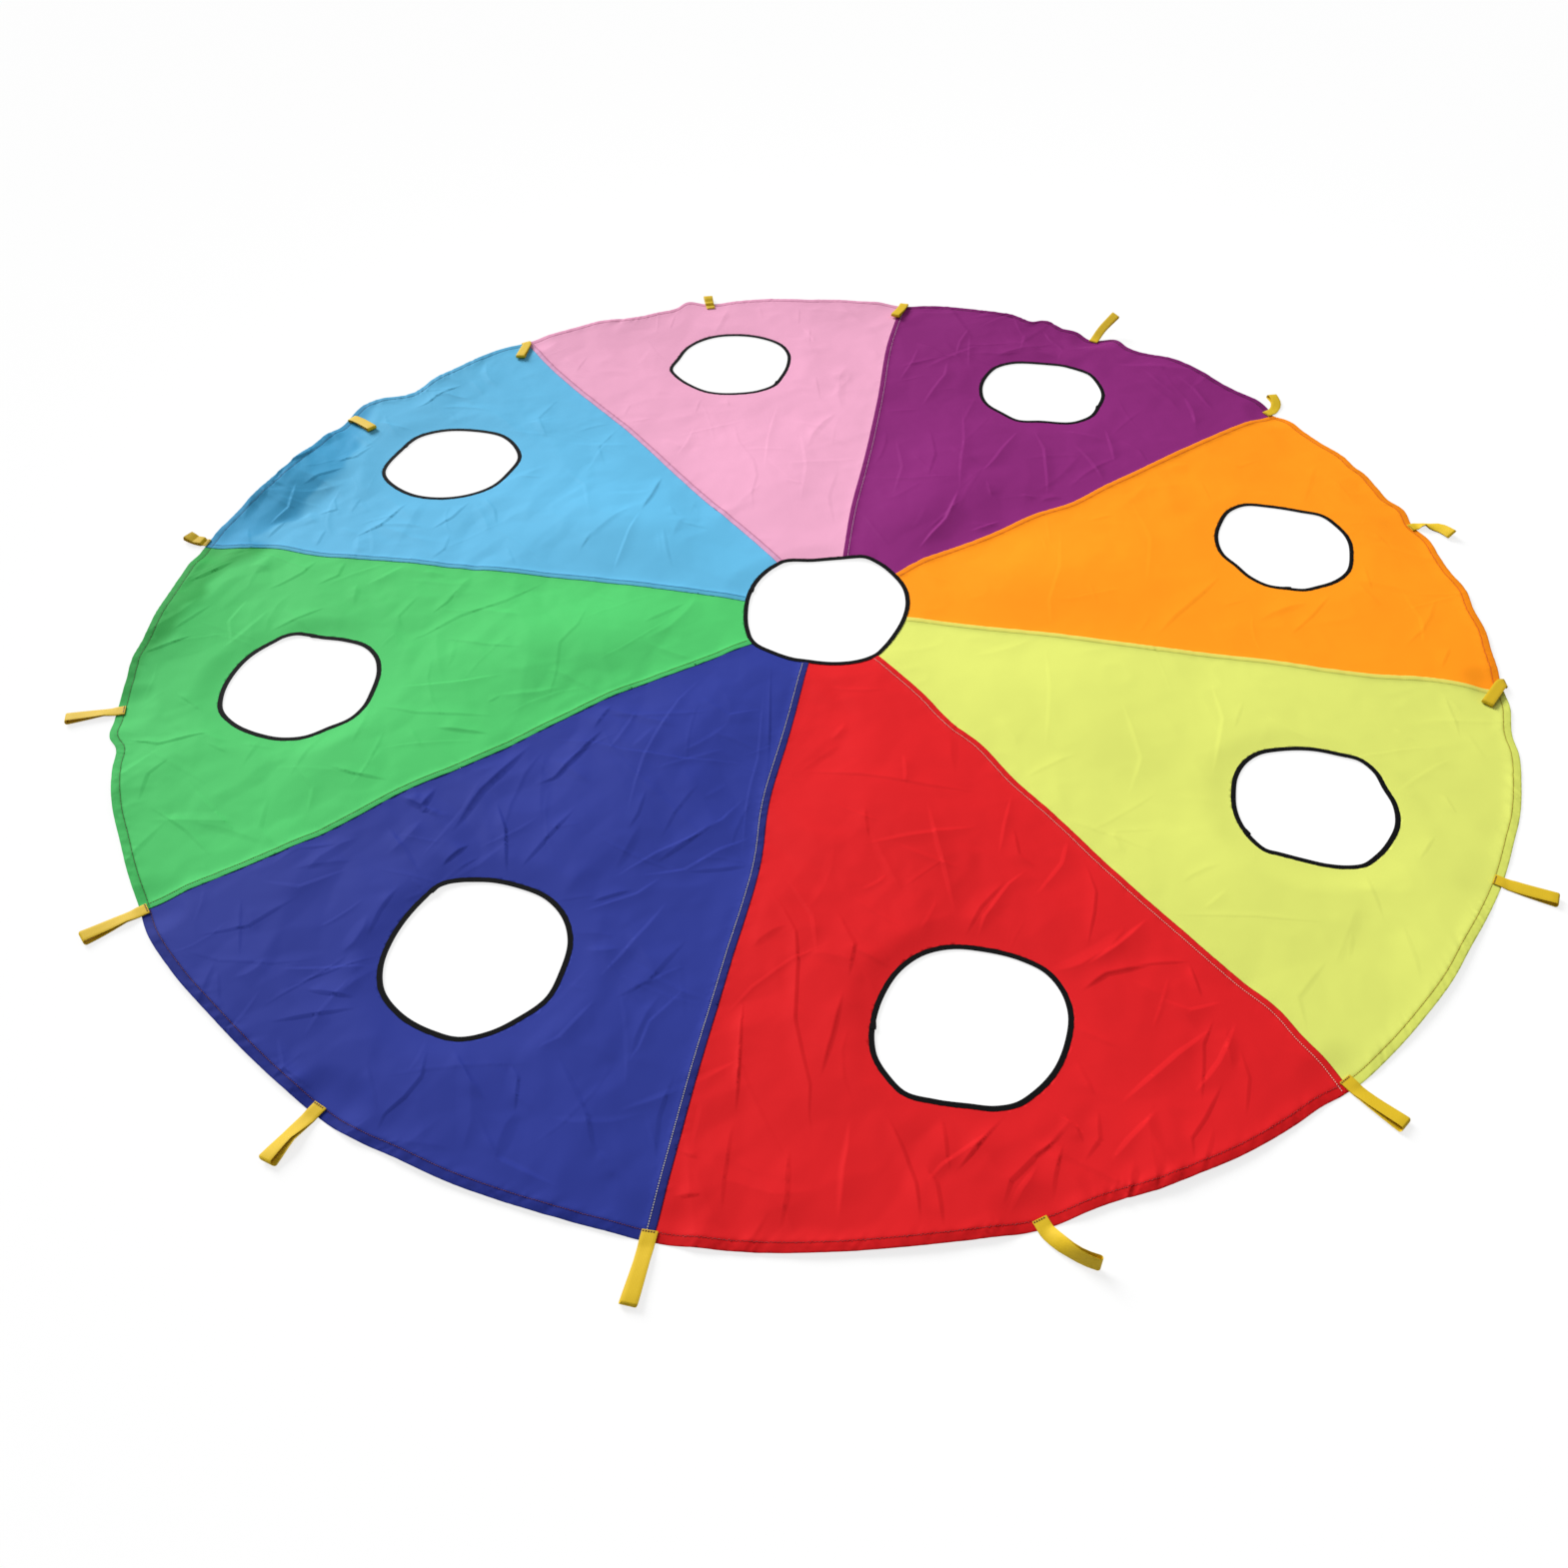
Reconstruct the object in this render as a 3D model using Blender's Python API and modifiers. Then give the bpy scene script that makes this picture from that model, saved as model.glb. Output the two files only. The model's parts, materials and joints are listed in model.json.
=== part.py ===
"""A play parachute laid out on the floor, with sixteen webbing handles sewn round its hem.

Metres, +Z up. The origin is the middle of the canopy, on the floor under its hem.
Eight cloth gores meet in lapped seams. Each gore has a round hole and the middle has another,
and a folded tape binds the edge of every hole. Each handle is a strap folded double: a tab sewn
on the hem, and a loop that folds up and over the canopy at the rim.
"""

import math

import bmesh
import bpy
from mathutils import Matrix, Vector

# Canopy
CANOPY_RADIUS = 1.5
GORE_COUNT = 8
FIRST_SEAM_ANGLE = math.radians(-143.2)
CENTRE_HOLE_RADIUS = 0.175
GORE_HOLE_RADIUS = 0.1585
HOLE_TO_RIM = 0.2045

# Cloth, its hem and its seams
CLOTH = 0.0008
FIT = 0.0003
HEM_WIDTH = 0.017
SEAM_LAP = 0.012
LAP_RAMP = 0.004

# Tape round the holes
TAPE = 0.0006
BINDING_WIDTH = 0.008
RING_SIDES = 32

# Webbing handles
WEBBING_WIDTH = 0.025
WEBBING = 0.0015
TAB_LENGTH = 0.015
LOOP_REACH = 0.1
NOSE_RADIUS = 0.005
NOSE_STEPS = 6
SEWN_LENGTH = 0.004
SAG_LENGTH = 0.014
GROOVE = 0.0003
FLOOR_GAP = 0.0002

# Soft swells of the laid cloth
INNER_SWELL = 0.02
RIM_SWELL = 0.016
SWELL_MARGIN = 0.01
FLAT_HALF_WIDTH = 0.04

# Where the swells begin and end, clear of the tapes round the holes
GORE_HOLE_DISTANCE = CANOPY_RADIUS - HOLE_TO_RIM - GORE_HOLE_RADIUS
TAPE_REACH = BINDING_WIDTH + SWELL_MARGIN
INNER_SWELL_START = CENTRE_HOLE_RADIUS + TAPE_REACH
INNER_SWELL_END = GORE_HOLE_DISTANCE - GORE_HOLE_RADIUS - TAPE_REACH
RIM_SWELL_START = GORE_HOLE_DISTANCE + GORE_HOLE_RADIUS + TAPE_REACH

# Heights that follow from the sizes above
LAYER = CLOTH + FIT
SHEET_LOW = LAYER
SHEET_HIGH = SHEET_LOW + CLOTH
TAB_LOW = SHEET_HIGH + FIT
TAB_HIGH = TAB_LOW + 2 * WEBBING
HINGE_HEIGHT = TAB_HIGH + FIT / 2
BAY = math.pi / GORE_COUNT

# Shares of a bay, of the two swells' reach and of a loop's length where mesh lines run
BAY_LINE_SHARES = (0, 1 / 3, 2 / 3, 1)
FLAT_SHARE = 0.3
INNER_ROW_SHARES = (0.22, 0.48, 0.74, 1)
RIM_ROW_SHARES = (0, 0.5)
STRAND_SHARES = (0.07, 0.16, 0.36, 0.68, 1)

# How far the cloth swells in the middle of each gore and at the rim of each bay
GORE_SWELL_SHARES = (0.55, 0.4, 0.5, 0.7, 0.4, 0.4, 1, 0.85)
BAY_SWELL_SHARES = (0.1, 0.15, 0.1, 0.2, 0.3, 0, 0.55, 0.7, 0.3, 0.4, 0.3, 0.4, 0.4, 1, 0.7, 0.3)

# Gores anticlockwise from the first seam, with their colours
GORES = (
    ("blue", (0.04, 0.055, 0.32)),
    ("red", (0.70, 0.025, 0.028)),
    ("lime", (0.73, 0.79, 0.18)),
    ("orange", (1.0, 0.34, 0.02)),
    ("purple", (0.26, 0.03, 0.19)),
    ("pink", (0.86, 0.42, 0.60)),
    ("sky", (0.14, 0.50, 0.80)),
    ("green", (0.08, 0.54, 0.15)),
)
YELLOW = (0.66, 0.42, 0.03)
BLACK = (0.008, 0.008, 0.009)

# Handles anticlockwise from the first seam: how far each is folded over, how far it turns
# sideways, and the share of its length that takes the turn
HANDLES = (
    ("green_blue", 0, 8, 0.6),
    ("blue", 0, 5, 0.6),
    ("blue_red", 0, 2, 0.6),
    ("red", 0, 75, 1.0),
    ("red_lime", 0, 10, 0.6),
    ("lime", 0, 9, 0.6),
    ("lime_orange", 175, -50, 0.4),
    ("orange", 0, -45, 0.8),
    ("orange_purple", 0, 55, 0.8),
    ("purple", 30, -20, 0.6),
    ("purple_pink", 175, 14, 0.6),
    ("pink", 0, 4, 0.6),
    ("pink_sky", 175, 40, 0.5),
    ("sky", 175, 12, 0.6),
    ("sky_green", 0, -35, 0.6),
    ("green", 0, 8, 0.6),
)


def clear_scene():
    for old in list(bpy.data.objects):
        bpy.data.objects.remove(old, do_unlink=True)


def make_collection(name):
    collection = bpy.data.collections.new(name)
    bpy.context.scene.collection.children.link(collection)
    return collection


def make_material(name, colour, roughness):
    material = bpy.data.materials.new(name)
    material.use_nodes = True
    shader = material.node_tree.nodes["Principled BSDF"]
    shader.inputs["Base Color"].default_value = (*colour, 1)
    shader.inputs["Roughness"].default_value = roughness
    shader.inputs["Metallic"].default_value = 0
    return material


def add_object(name, data, collection, material=None):
    thing = bpy.data.objects.new(name, data)
    collection.objects.link(thing)
    if material:
        data.materials.append(material)
    return thing


def ease(t):
    """Rises smoothly from 0 to 1 as t goes from 0 to 1."""
    t = min(max(t, 0), 1)
    return t * t * (3 - 2 * t)


def hill(t):
    """Rises smoothly from 0 at t = 0 to 1 halfway, and back to 0 at t = 1."""
    return math.sin(math.pi * min(max(t, 0), 1)) ** 2


def flat_angle(radius):
    """Half angle of the flat strip of cloth along each seam and each handle's line."""
    return min(FLAT_HALF_WIDTH / radius, FLAT_SHARE * BAY)


def cloth_lift(gore, radius, angle):
    """Height of the cloth's swells over its lying flat, at an angle from the gore's first seam."""
    if not 0 <= angle <= 2 * BAY:
        return 0
    span = INNER_SWELL_END - INNER_SWELL_START
    inner = INNER_SWELL * GORE_SWELL_SHARES[gore]
    inner *= hill(angle / (2 * BAY)) * hill((radius - INNER_SWELL_START) / span)
    bay, within = divmod(angle, BAY)
    bay = min(2 * gore + int(bay), 2 * GORE_COUNT - 1)
    flat = flat_angle(radius)
    outer = RIM_SWELL * BAY_SWELL_SHARES[bay] * hill((within - flat) / (BAY - 2 * flat))
    outer *= ease((radius - RIM_SWELL_START) / (CANOPY_RADIUS - RIM_SWELL_START))
    return inner + outer


def gore_lines(radius):
    """Angles of a gore's mesh lines at a radius, from the edge that its neighbour covers to the
    edge that covers the other neighbour."""
    flat = flat_angle(radius)
    free = BAY - 2 * flat
    first = [flat + free * share for share in BAY_LINE_SHARES]
    second = [BAY + angle for angle in first]
    end = 2 * BAY
    lap = SEAM_LAP / radius
    half_fit = FIT / 2 / radius
    ramp = lap + LAP_RAMP / radius
    return [-lap, half_fit, *first, BAY, *second, end - ramp, end - lap, end - half_fit]


def gore_rows():
    """Radius, height of the cloth's middle, and whether the seam laps there, for each mesh row
    from the middle of the canopy out to the fold and back under the hem."""
    step = max(FLAT_SHARE * BAY, BAY * (1 - 2 * FLAT_SHARE) * BAY_LINE_SHARES[1])
    inner_edge = (CENTRE_HOLE_RADIUS + TAPE + FIT) / math.cos(step / 2)
    hem_edge = CANOPY_RADIUS - HEM_WIDTH
    fold = CANOPY_RADIUS - CLOTH / 2
    top = SHEET_LOW + CLOTH / 2
    under = CLOTH / 2
    ramp_edge = hem_edge - LAP_RAMP
    inner_span = INNER_SWELL_END - INNER_SWELL_START
    lapped = [inner_edge, *(INNER_SWELL_START + inner_span * s for s in INNER_ROW_SHARES)]
    lapped += [RIM_SWELL_START + (ramp_edge - RIM_SWELL_START) * s for s in RIM_ROW_SHARES]
    lapped.append(ramp_edge)
    rows = [(radius, top, True) for radius in lapped]
    rows += [(hem_edge, top, False), (fold, top, False), (fold, under, False), (hem_edge, under, False)]
    return rows


def gore_mesh(gore):
    """The cloth of one gore as an open surface: a flat wedge whose last edge steps up to lie on
    its neighbour, whose first edge runs on under the other one, and whose rim is folded under."""
    mesh = bmesh.new()
    start = FIRST_SEAM_ANGLE + 2 * BAY * gore
    rows = gore_rows()
    last_lapped = max(i for i, row in enumerate(rows) if row[2])
    grid = []
    for i, (radius, height, lapped) in enumerate(rows):
        lines = gore_lines(radius)
        points = []
        for j, angle in enumerate(lines):
            if j == 0 and not lapped:
                points.append(None)
                continue
            reach = radius - FIT if j == 0 and i == last_lapped else radius
            raised = LAYER if lapped and j >= len(lines) - 2 else 0
            lift = cloth_lift(gore, radius, angle)
            turn = start + angle
            place = (reach * math.cos(turn), reach * math.sin(turn), height + raised + lift)
            points.append(mesh.verts.new(place))
        grid.append(points)
    for near, far in zip(grid, grid[1:]):
        for j in range(len(near) - 1):
            corners = (near[j], far[j], far[j + 1], near[j + 1])
            if None not in corners:
                mesh.faces.new(corners)
    data = bpy.data.meshes.new("gore")
    mesh.to_mesh(data)
    mesh.free()
    return data


def hole_place(gore):
    angle = FIRST_SEAM_ANGLE + BAY * (2 * gore + 1)
    return Vector((GORE_HOLE_DISTANCE * math.cos(angle), GORE_HOLE_DISTANCE * math.sin(angle), 0))


def make_hole_cutter(name, gore, cutters):
    """A drum through the cloth, wider than the clear hole by the tape that binds its edge."""
    mesh = bmesh.new()
    radius = GORE_HOLE_RADIUS + TAPE + FIT
    depth = 2 * (SHEET_HIGH + INNER_SWELL + RIM_SWELL)
    bmesh.ops.create_cone(
        mesh, cap_ends=True, segments=RING_SIDES, radius1=radius, radius2=radius, depth=depth
    )
    data = bpy.data.meshes.new(name)
    mesh.to_mesh(data)
    mesh.free()
    cutter = add_object(name, data, cutters)
    cutter.location = hole_place(gore)
    cutter.hide_render = True
    cutter.display_type = "WIRE"
    return cutter


def make_gore(gore, parts, cutters):
    name, colour = GORES[gore]
    material = make_material(f"{name}_cloth", colour, 0.55)
    panel = add_object(f"panel_{name}", gore_mesh(gore), parts, material)
    shell = panel.modifiers.new("Cloth", "SOLIDIFY")
    shell.thickness = CLOTH
    shell.offset = 0
    shell.use_even_offset = True
    cut = panel.modifiers.new("Hole", "BOOLEAN")
    cut.operation = "DIFFERENCE"
    cut.solver = "EXACT"
    cut.object = make_hole_cutter(f"hole_cutter_{name}", gore, cutters)
    return panel


def binding_profile(clear_radius, layers):
    """Half section of a tape folded round the cloth's edge, with room for the layers in it."""
    low = SHEET_LOW - FIT - TAPE
    high = SHEET_LOW + layers * LAYER + TAPE
    lip = clear_radius + BINDING_WIDTH
    bend = clear_radius + TAPE
    return (
        (lip, high),
        (lip, high - TAPE),
        (bend, high - TAPE),
        (bend, low + TAPE),
        (lip, low + TAPE),
        (lip, low),
        (clear_radius, low),
        (clear_radius, high),
    )


def make_binding(name, clear_radius, layers, place, parts, material):
    profile = binding_profile(clear_radius, layers)
    data = bpy.data.meshes.new(name)
    points = [(x, 0, z) for x, z in profile]
    edges = [(i, (i + 1) % len(points)) for i in range(len(points))]
    data.from_pydata(points, edges, [])
    ring = add_object(name, data, parts, material)
    ring.location = place
    turn = ring.modifiers.new("Ring", "SCREW")
    turn.axis = "Z"
    turn.steps = RING_SIDES
    turn.render_steps = RING_SIDES
    turn.use_merge_vertices = True
    turn.merge_threshold = 0.00001
    return ring


def handle_frame(index):
    """Place on the hinge line at the rim, with X outwards, Y along the rim and Z up."""
    turn = Matrix.Rotation(FIRST_SEAM_ANGLE + BAY * index, 4, "Z")
    return turn @ Matrix.Translation((CANOPY_RADIUS, 0, HINGE_HEIGHT))


def make_tab(index, parts, material):
    """The sewn end of a handle: two layers of webbing on the hem, with the joint between them."""
    name = HANDLES[index][0]
    low = TAB_LOW - HINGE_HEIGHT
    high = TAB_HIGH - HINGE_HEIGHT
    middle = (low + high) / 2
    outer = -FIT / 2
    inner = -TAB_LENGTH
    outline = (
        (inner, low),
        (outer, low),
        (outer, middle - GROOVE),
        (outer - GROOVE, middle),
        (outer, middle + GROOVE),
        (outer, high),
        (inner, high),
        (inner, middle + GROOVE),
        (inner + GROOVE, middle),
        (inner, middle - GROOVE),
    )
    data = bpy.data.curves.new(f"handle_tab_{name}", "CURVE")
    data.dimensions = "2D"
    data.fill_mode = "BOTH"
    data.extrude = WEBBING_WIDTH / 2
    spline = data.splines.new("POLY")
    spline.points.add(len(outline) - 1)
    for point, (x, z) in zip(spline.points, outline):
        point.co = (x, z, 0, 1)
    spline.use_cyclic_u = True
    tab = add_object(f"handle_tab_{name}", data, parts, material)
    tab.matrix_world = handle_frame(index) @ Matrix.Rotation(math.radians(90), 4, "X")
    return tab


def loop_section():
    """Side outline of a loop as pairs of outer and inner points, each a distance along the loop
    and a height over the hinge: out along the lower strand, round the nose and back."""
    half = WEBBING / 2
    nose = LOOP_REACH - NOSE_RADIUS - half
    root_low = TAB_LOW + half
    floor_low = FLOOR_GAP + half
    opening = 2 * NOSE_RADIUS - WEBBING

    def lower(along):
        return root_low + (floor_low - root_low) * ease(along / SAG_LENGTH)

    def upper(along):
        return lower(along) + WEBBING + opening * along / nose

    seam = (TAB_LOW + TAB_HIGH) / 2
    start = FIT / 2
    pairs = [((start, TAB_LOW), (SEWN_LENGTH, seam - FIT / 2))]
    strand = [nose * share for share in STRAND_SHARES]
    pairs += [((s, lower(s) - half), (s, lower(s) + half)) for s in strand]
    centre = (lower(nose) + upper(nose)) / 2
    for step in range(1, NOSE_STEPS):
        angle = math.pi * (step / NOSE_STEPS - 1 / 2)
        along, up = math.cos(angle), math.sin(angle)
        radii = (NOSE_RADIUS + half, NOSE_RADIUS - half)
        pairs.append(tuple((nose + r * along, centre + r * up) for r in radii))
    pairs += [((s, upper(s) + half), (s, upper(s) - half)) for s in reversed(strand)]
    pairs.append(((start, TAB_HIGH), (SEWN_LENGTH, seam + FIT / 2)))
    return pairs


def loop_path(along, turn, bend_share):
    """Where the middle of a loop lies in plan, and its heading, at a distance along it."""
    bend = LOOP_REACH * bend_share
    curve = turn / bend
    heading = curve * min(along, bend)
    if abs(turn) > 0:
        x = math.sin(heading) / curve
        y = (1 - math.cos(heading)) / curve
    else:
        x, y = min(along, bend), 0
    rest = max(along - bend, 0)
    return x + rest * math.cos(heading), y + rest * math.sin(heading), heading


def loop_mesh(turn, bend_share):
    """A strap folded double, swept from its side outline and bent sideways as it lies."""
    mesh = bmesh.new()
    rings = []
    for pair in loop_section():
        ring = []
        for side in (-1, 1):
            for along, height in pair:
                x, y, heading = loop_path(along, turn, bend_share)
                offset = side * WEBBING_WIDTH / 2
                x -= offset * math.sin(heading)
                y += offset * math.cos(heading)
                ring.append(mesh.verts.new((x, y, height - HINGE_HEIGHT)))
        low_outer, low_inner, high_outer, high_inner = ring
        rings.append((low_outer, low_inner, high_inner, high_outer))
    for here, there in zip(rings, rings[1:] + rings[:1]):
        for i in range(len(here)):
            j = (i + 1) % len(here)
            mesh.faces.new((here[i], here[j], there[j], there[i]))
    bmesh.ops.recalc_face_normals(mesh, faces=mesh.faces)
    data = bpy.data.meshes.new("loop")
    mesh.to_mesh(data)
    mesh.free()
    return data


def make_loop(index, parts, material):
    name, fold, turn, bend_share = HANDLES[index]
    data = loop_mesh(math.radians(turn), bend_share)
    loop = add_object(f"handle_loop_{name}", data, parts, material)
    loop.matrix_world = handle_frame(index) @ Matrix.Rotation(-math.radians(fold), 4, "Y")
    return loop


def build():
    clear_scene()
    parts = make_collection("play_parachute")
    cutters = make_collection("cutters")
    binding = make_material("binding_tape", BLACK, 0.6)
    webbing = make_material("handle_webbing", YELLOW, 0.6)
    for gore in range(GORE_COUNT):
        make_gore(gore, parts, cutters)
        name = f"binding_{GORES[gore][0]}"
        make_binding(name, GORE_HOLE_RADIUS, 1, hole_place(gore), parts, binding)
    make_binding("binding_centre", CENTRE_HOLE_RADIUS, 2, Vector(), parts, binding)
    for index in range(len(HANDLES)):
        make_tab(index, parts, webbing)
        make_loop(index, parts, webbing)


build()
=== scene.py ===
"""The look of a play parachute laid out on the floor: taffeta gores with their wrinkles, lapped
seams and folded hem, tape round every hole, webbing handles and the thread that holds them.

Metres, +Z up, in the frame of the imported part. Places that were read from the photograph are
pixels of its 1569 x 1569 frame, and floor_points turns them into places on the floor.
"""

import json
import math

import bpy
import numpy as np
from mathutils import Matrix, Vector
from mathutils.geometry import delaunay_2d_cdt
from mathutils.kdtree import KDTree


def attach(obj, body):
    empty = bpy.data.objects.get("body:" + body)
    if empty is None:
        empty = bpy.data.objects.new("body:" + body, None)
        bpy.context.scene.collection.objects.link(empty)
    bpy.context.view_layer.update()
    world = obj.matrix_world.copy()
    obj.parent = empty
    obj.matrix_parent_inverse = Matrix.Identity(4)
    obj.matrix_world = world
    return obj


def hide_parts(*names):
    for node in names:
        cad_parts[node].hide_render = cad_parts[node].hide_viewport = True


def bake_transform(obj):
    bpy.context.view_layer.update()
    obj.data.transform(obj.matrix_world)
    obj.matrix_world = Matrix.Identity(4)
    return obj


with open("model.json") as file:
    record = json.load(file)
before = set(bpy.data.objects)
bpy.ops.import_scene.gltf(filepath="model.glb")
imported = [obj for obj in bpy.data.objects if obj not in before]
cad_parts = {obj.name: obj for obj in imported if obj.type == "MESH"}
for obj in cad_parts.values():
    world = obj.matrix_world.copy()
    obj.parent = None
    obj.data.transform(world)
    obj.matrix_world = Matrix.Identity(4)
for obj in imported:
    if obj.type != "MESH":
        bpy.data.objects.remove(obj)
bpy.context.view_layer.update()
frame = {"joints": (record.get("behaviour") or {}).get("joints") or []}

MM = 0.001
NAMES = ("blue", "red", "lime", "orange", "purple", "pink", "sky", "green")
GORES = len(NAMES)
TURN = 2 * math.pi

# The photograph's camera
IMAGE = 1569
FOCAL_PIXELS = 1289
AXIS_PIXELS = 64.8
CAMERA_PLACE = (0.0672, -2.3030, 1.8597)
PITCH = math.radians(46.55)
ROLL = math.radians(1.13)
SENSOR = 36

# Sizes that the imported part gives
JOINTS = {joint["name"]: joint for joint in frame["joints"]}
FIRST_HINGE = JOINTS["handle_green_blue_fold"]["pos_m"]
RADIUS = math.hypot(FIRST_HINGE[0], FIRST_HINGE[1])
FIRST_SEAM = math.atan2(FIRST_HINGE[1], FIRST_HINGE[0])
HINGE_HEIGHT = FIRST_HINGE[2]
BAY = math.pi / GORES

# Holes, regular ones as in the part
CENTRE_HOLE_RADIUS = 0.175
HOLE_RADIUS = 0.1585
HOLE_DISTANCE = 1.137

# Cloth
CLOTH = 0.35 * MM
CLOTH_MIDDLE = 1.5 * MM
HEM = 17 * MM
HEM_BEND = 0.5 * MM
LAP = 14 * MM
LAP_RISE = 0.95 * MM
LAP_RAMP = 5 * MM
LAP_BEND = 0.33 * MM
LAP_TUCK = 6 * MM
LAP_SINK = 0.5 * MM
SPACING = 6.5 * MM
CREASE_SPACING = 5 * MM
EDGE_SPACING = 6 * MM
INNER_POINTS = 24

# Swells, near those of the part
INNER_SWELL = 20 * MM
INNER_SWELL_START = 0.193
INNER_SWELL_END = 0.96
RIM_SWELL = 16 * MM
RIM_SWELL_START = 1.31
FLAT_HALF_WIDTH = 40 * MM
GORE_SWELL_SHARES = (0.55, 0.4, 0.5, 0.7, 0.8, 0.4, 1, 0.85)
BAY_SWELL_SHARES = (0.1, 0.15, 0.1, 0.2, 0.3, 0, 0.35, 0.4, 0.5, 0.5, 0.5, 0.6, 0.4, 1.7, 1.1, 0.3)

# Creases: slope of the steep flank, its share of the width that was read, width of the gentle
# flank in steep ones, and where the light comes from
STEEPNESS = 0.40
STEEP_SHARE = 0.55
GENTLE = 6
CREST_ROW = 2.5 * MM
LIGHT = (-0.55, 0.62, 0.46)
LIGHT_SIDE = LIGHT[:2]

# Tape round the holes
TAPE = 0.5 * MM
TAPE_WIDTH = 10 * MM
TAPE_OVERHANG = 6 * MM
TAPE_SLOT = 0.6 * MM

# Webbing
WEBBING_WIDTH = 25 * MM
WEBBING = 1.3 * MM
TAB_LENGTH = 15 * MM
TAB_FOOT = 2.5 * MM
LOOP_REACH = 100 * MM

# Thread
STITCH = 3.4 * MM
STITCH_PITCH = 4.2 * MM
THREAD = 1.4 * MM
NEEDLE_DEPTH = 0.3 * MM
SEAM_LINE = 1 * MM
HEM_LINE = 1.5 * MM
LINE_WIDTH = 2 * MM

# Where each seam runs, from the rim to the middle: seam i lies before gore i
SEAM_PIXELS = (
    (
        (148, 911), (217, 882), (283, 854.5), (352, 823.5), (406, 794.5), (468, 769), (541, 735),
        (613.5, 700), (697.5, 668.5), (753, 645.5),
    ),
    (
        (657, 1229), (697.5, 1080), (731, 968), (762.5, 860), (768, 816), (791, 734), (809, 665),
    ),
    (
        (1350, 1092), (1329, 1065), (1301.5, 1037.5), (1279, 1012), (1242, 983), (1213.5, 959.5),
        (1180, 930), (1141, 896.5), (1103, 862), (1056.5, 818), (1015, 781.5), (977, 743),
        (957.5, 729.5), (924.5, 697), (878, 657),
    ),
    (
        (1487, 690.5), (1435, 681), (1372, 676.5), (1325, 670.5), (1270.5, 662.5), (1200, 654),
        (1118, 643.5), (1045, 634), (972, 627), (906, 618.5),
    ),
    (
        (1275.5, 416), (1236, 429), (1196.5, 446), (1140.5, 471), (1104, 488), (1068, 506),
        (1039.5, 515), (983.5, 540), (913, 566.5), (896.5, 576),
    ),
    (
        (898, 316.5), (889, 342), (878, 402), (865, 459.5), (850.5, 516), (843.5, 558.5),
    ),
    (
        (526, 342), (541, 360), (577, 393), (631.5, 436.5), (664.5, 467), (708.5, 506.5),
        (747, 538), (777, 564),
    ),
    (
        (214.5, 549.5), (240, 551.5), (267, 551), (315, 558.5), (390, 564.5), (461.5, 572),
        (555, 580.5), (604, 586), (675.5, 594.5), (744, 602.5),
    ),
)

# The rim, anticlockwise from the first seam
RIM_PIXELS = (
    (140, 909), (146.5, 931), (173.5, 974.5), (213.5, 1020), (250, 1058), (304.5, 1107),
    (348, 1138), (384.5, 1154.5), (442.5, 1181.5), (515.5, 1207), (585, 1227), (655.5, 1244),
    (720, 1252), (800, 1255), (880, 1251.5), (960, 1244), (1044.5, 1230), (1118, 1203),
    (1164, 1190), (1202.5, 1174.5), (1240, 1158.5), (1299, 1124.5), (1326.5, 1105), (1350, 1092),
    (1364, 1082.5), (1396, 1052.5), (1428, 1015.5), (1455.5, 978), (1472.5, 946), (1487.5, 918.5),
    (1504, 881.5), (1515, 839), (1520.5, 814.5), (1521.5, 780), (1517.5, 747.5), (1513, 736.5),
    (1507, 696.5), (1500, 680), (1495.5, 666), (1489.5, 649.5), (1483.5, 628.5), (1473, 609.5),
    (1462.5, 586), (1449.5, 572), (1435.5, 553), (1423, 534), (1411, 525), (1397, 506),
    (1385, 499), (1373, 486), (1361, 473), (1352, 467), (1341, 456.5), (1317.5, 442.5),
    (1299, 430.5), (1278, 416.5), (1269, 414), (1262, 406), (1227.5, 389), (1173, 361.5),
    (1127, 350.5), (1111, 341), (1092.5, 341.5), (1078, 334.5), (1064, 331.5), (1044, 324),
    (1038, 325), (1018, 319.5), (978, 313), (937.5, 308.5), (906, 307.5), (890, 305),
    (864.5, 303.5), (840, 301.5), (818, 301.5), (763.5, 301), (730.5, 303.5), (711, 305),
    (690, 303.5), (679, 309.5), (659, 314), (637, 319), (598.5, 323), (566, 332.5), (533, 342),
    (500, 351.5), (470, 364), (437.5, 380), (405, 398), (385.5, 401), (360, 411.5), (348, 423.5),
    (318, 446), (291, 465.5), (267, 486.5), (243, 510.5), (213, 539), (202.5, 552.5), (186, 575),
    (171, 596), (157.5, 617), (145.5, 641), (135, 659), (129, 680), (120, 704), (115.5, 719),
    (111.5, 738), (117, 747), (114, 770), (114, 810), (122, 846), (130, 878),
)

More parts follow.
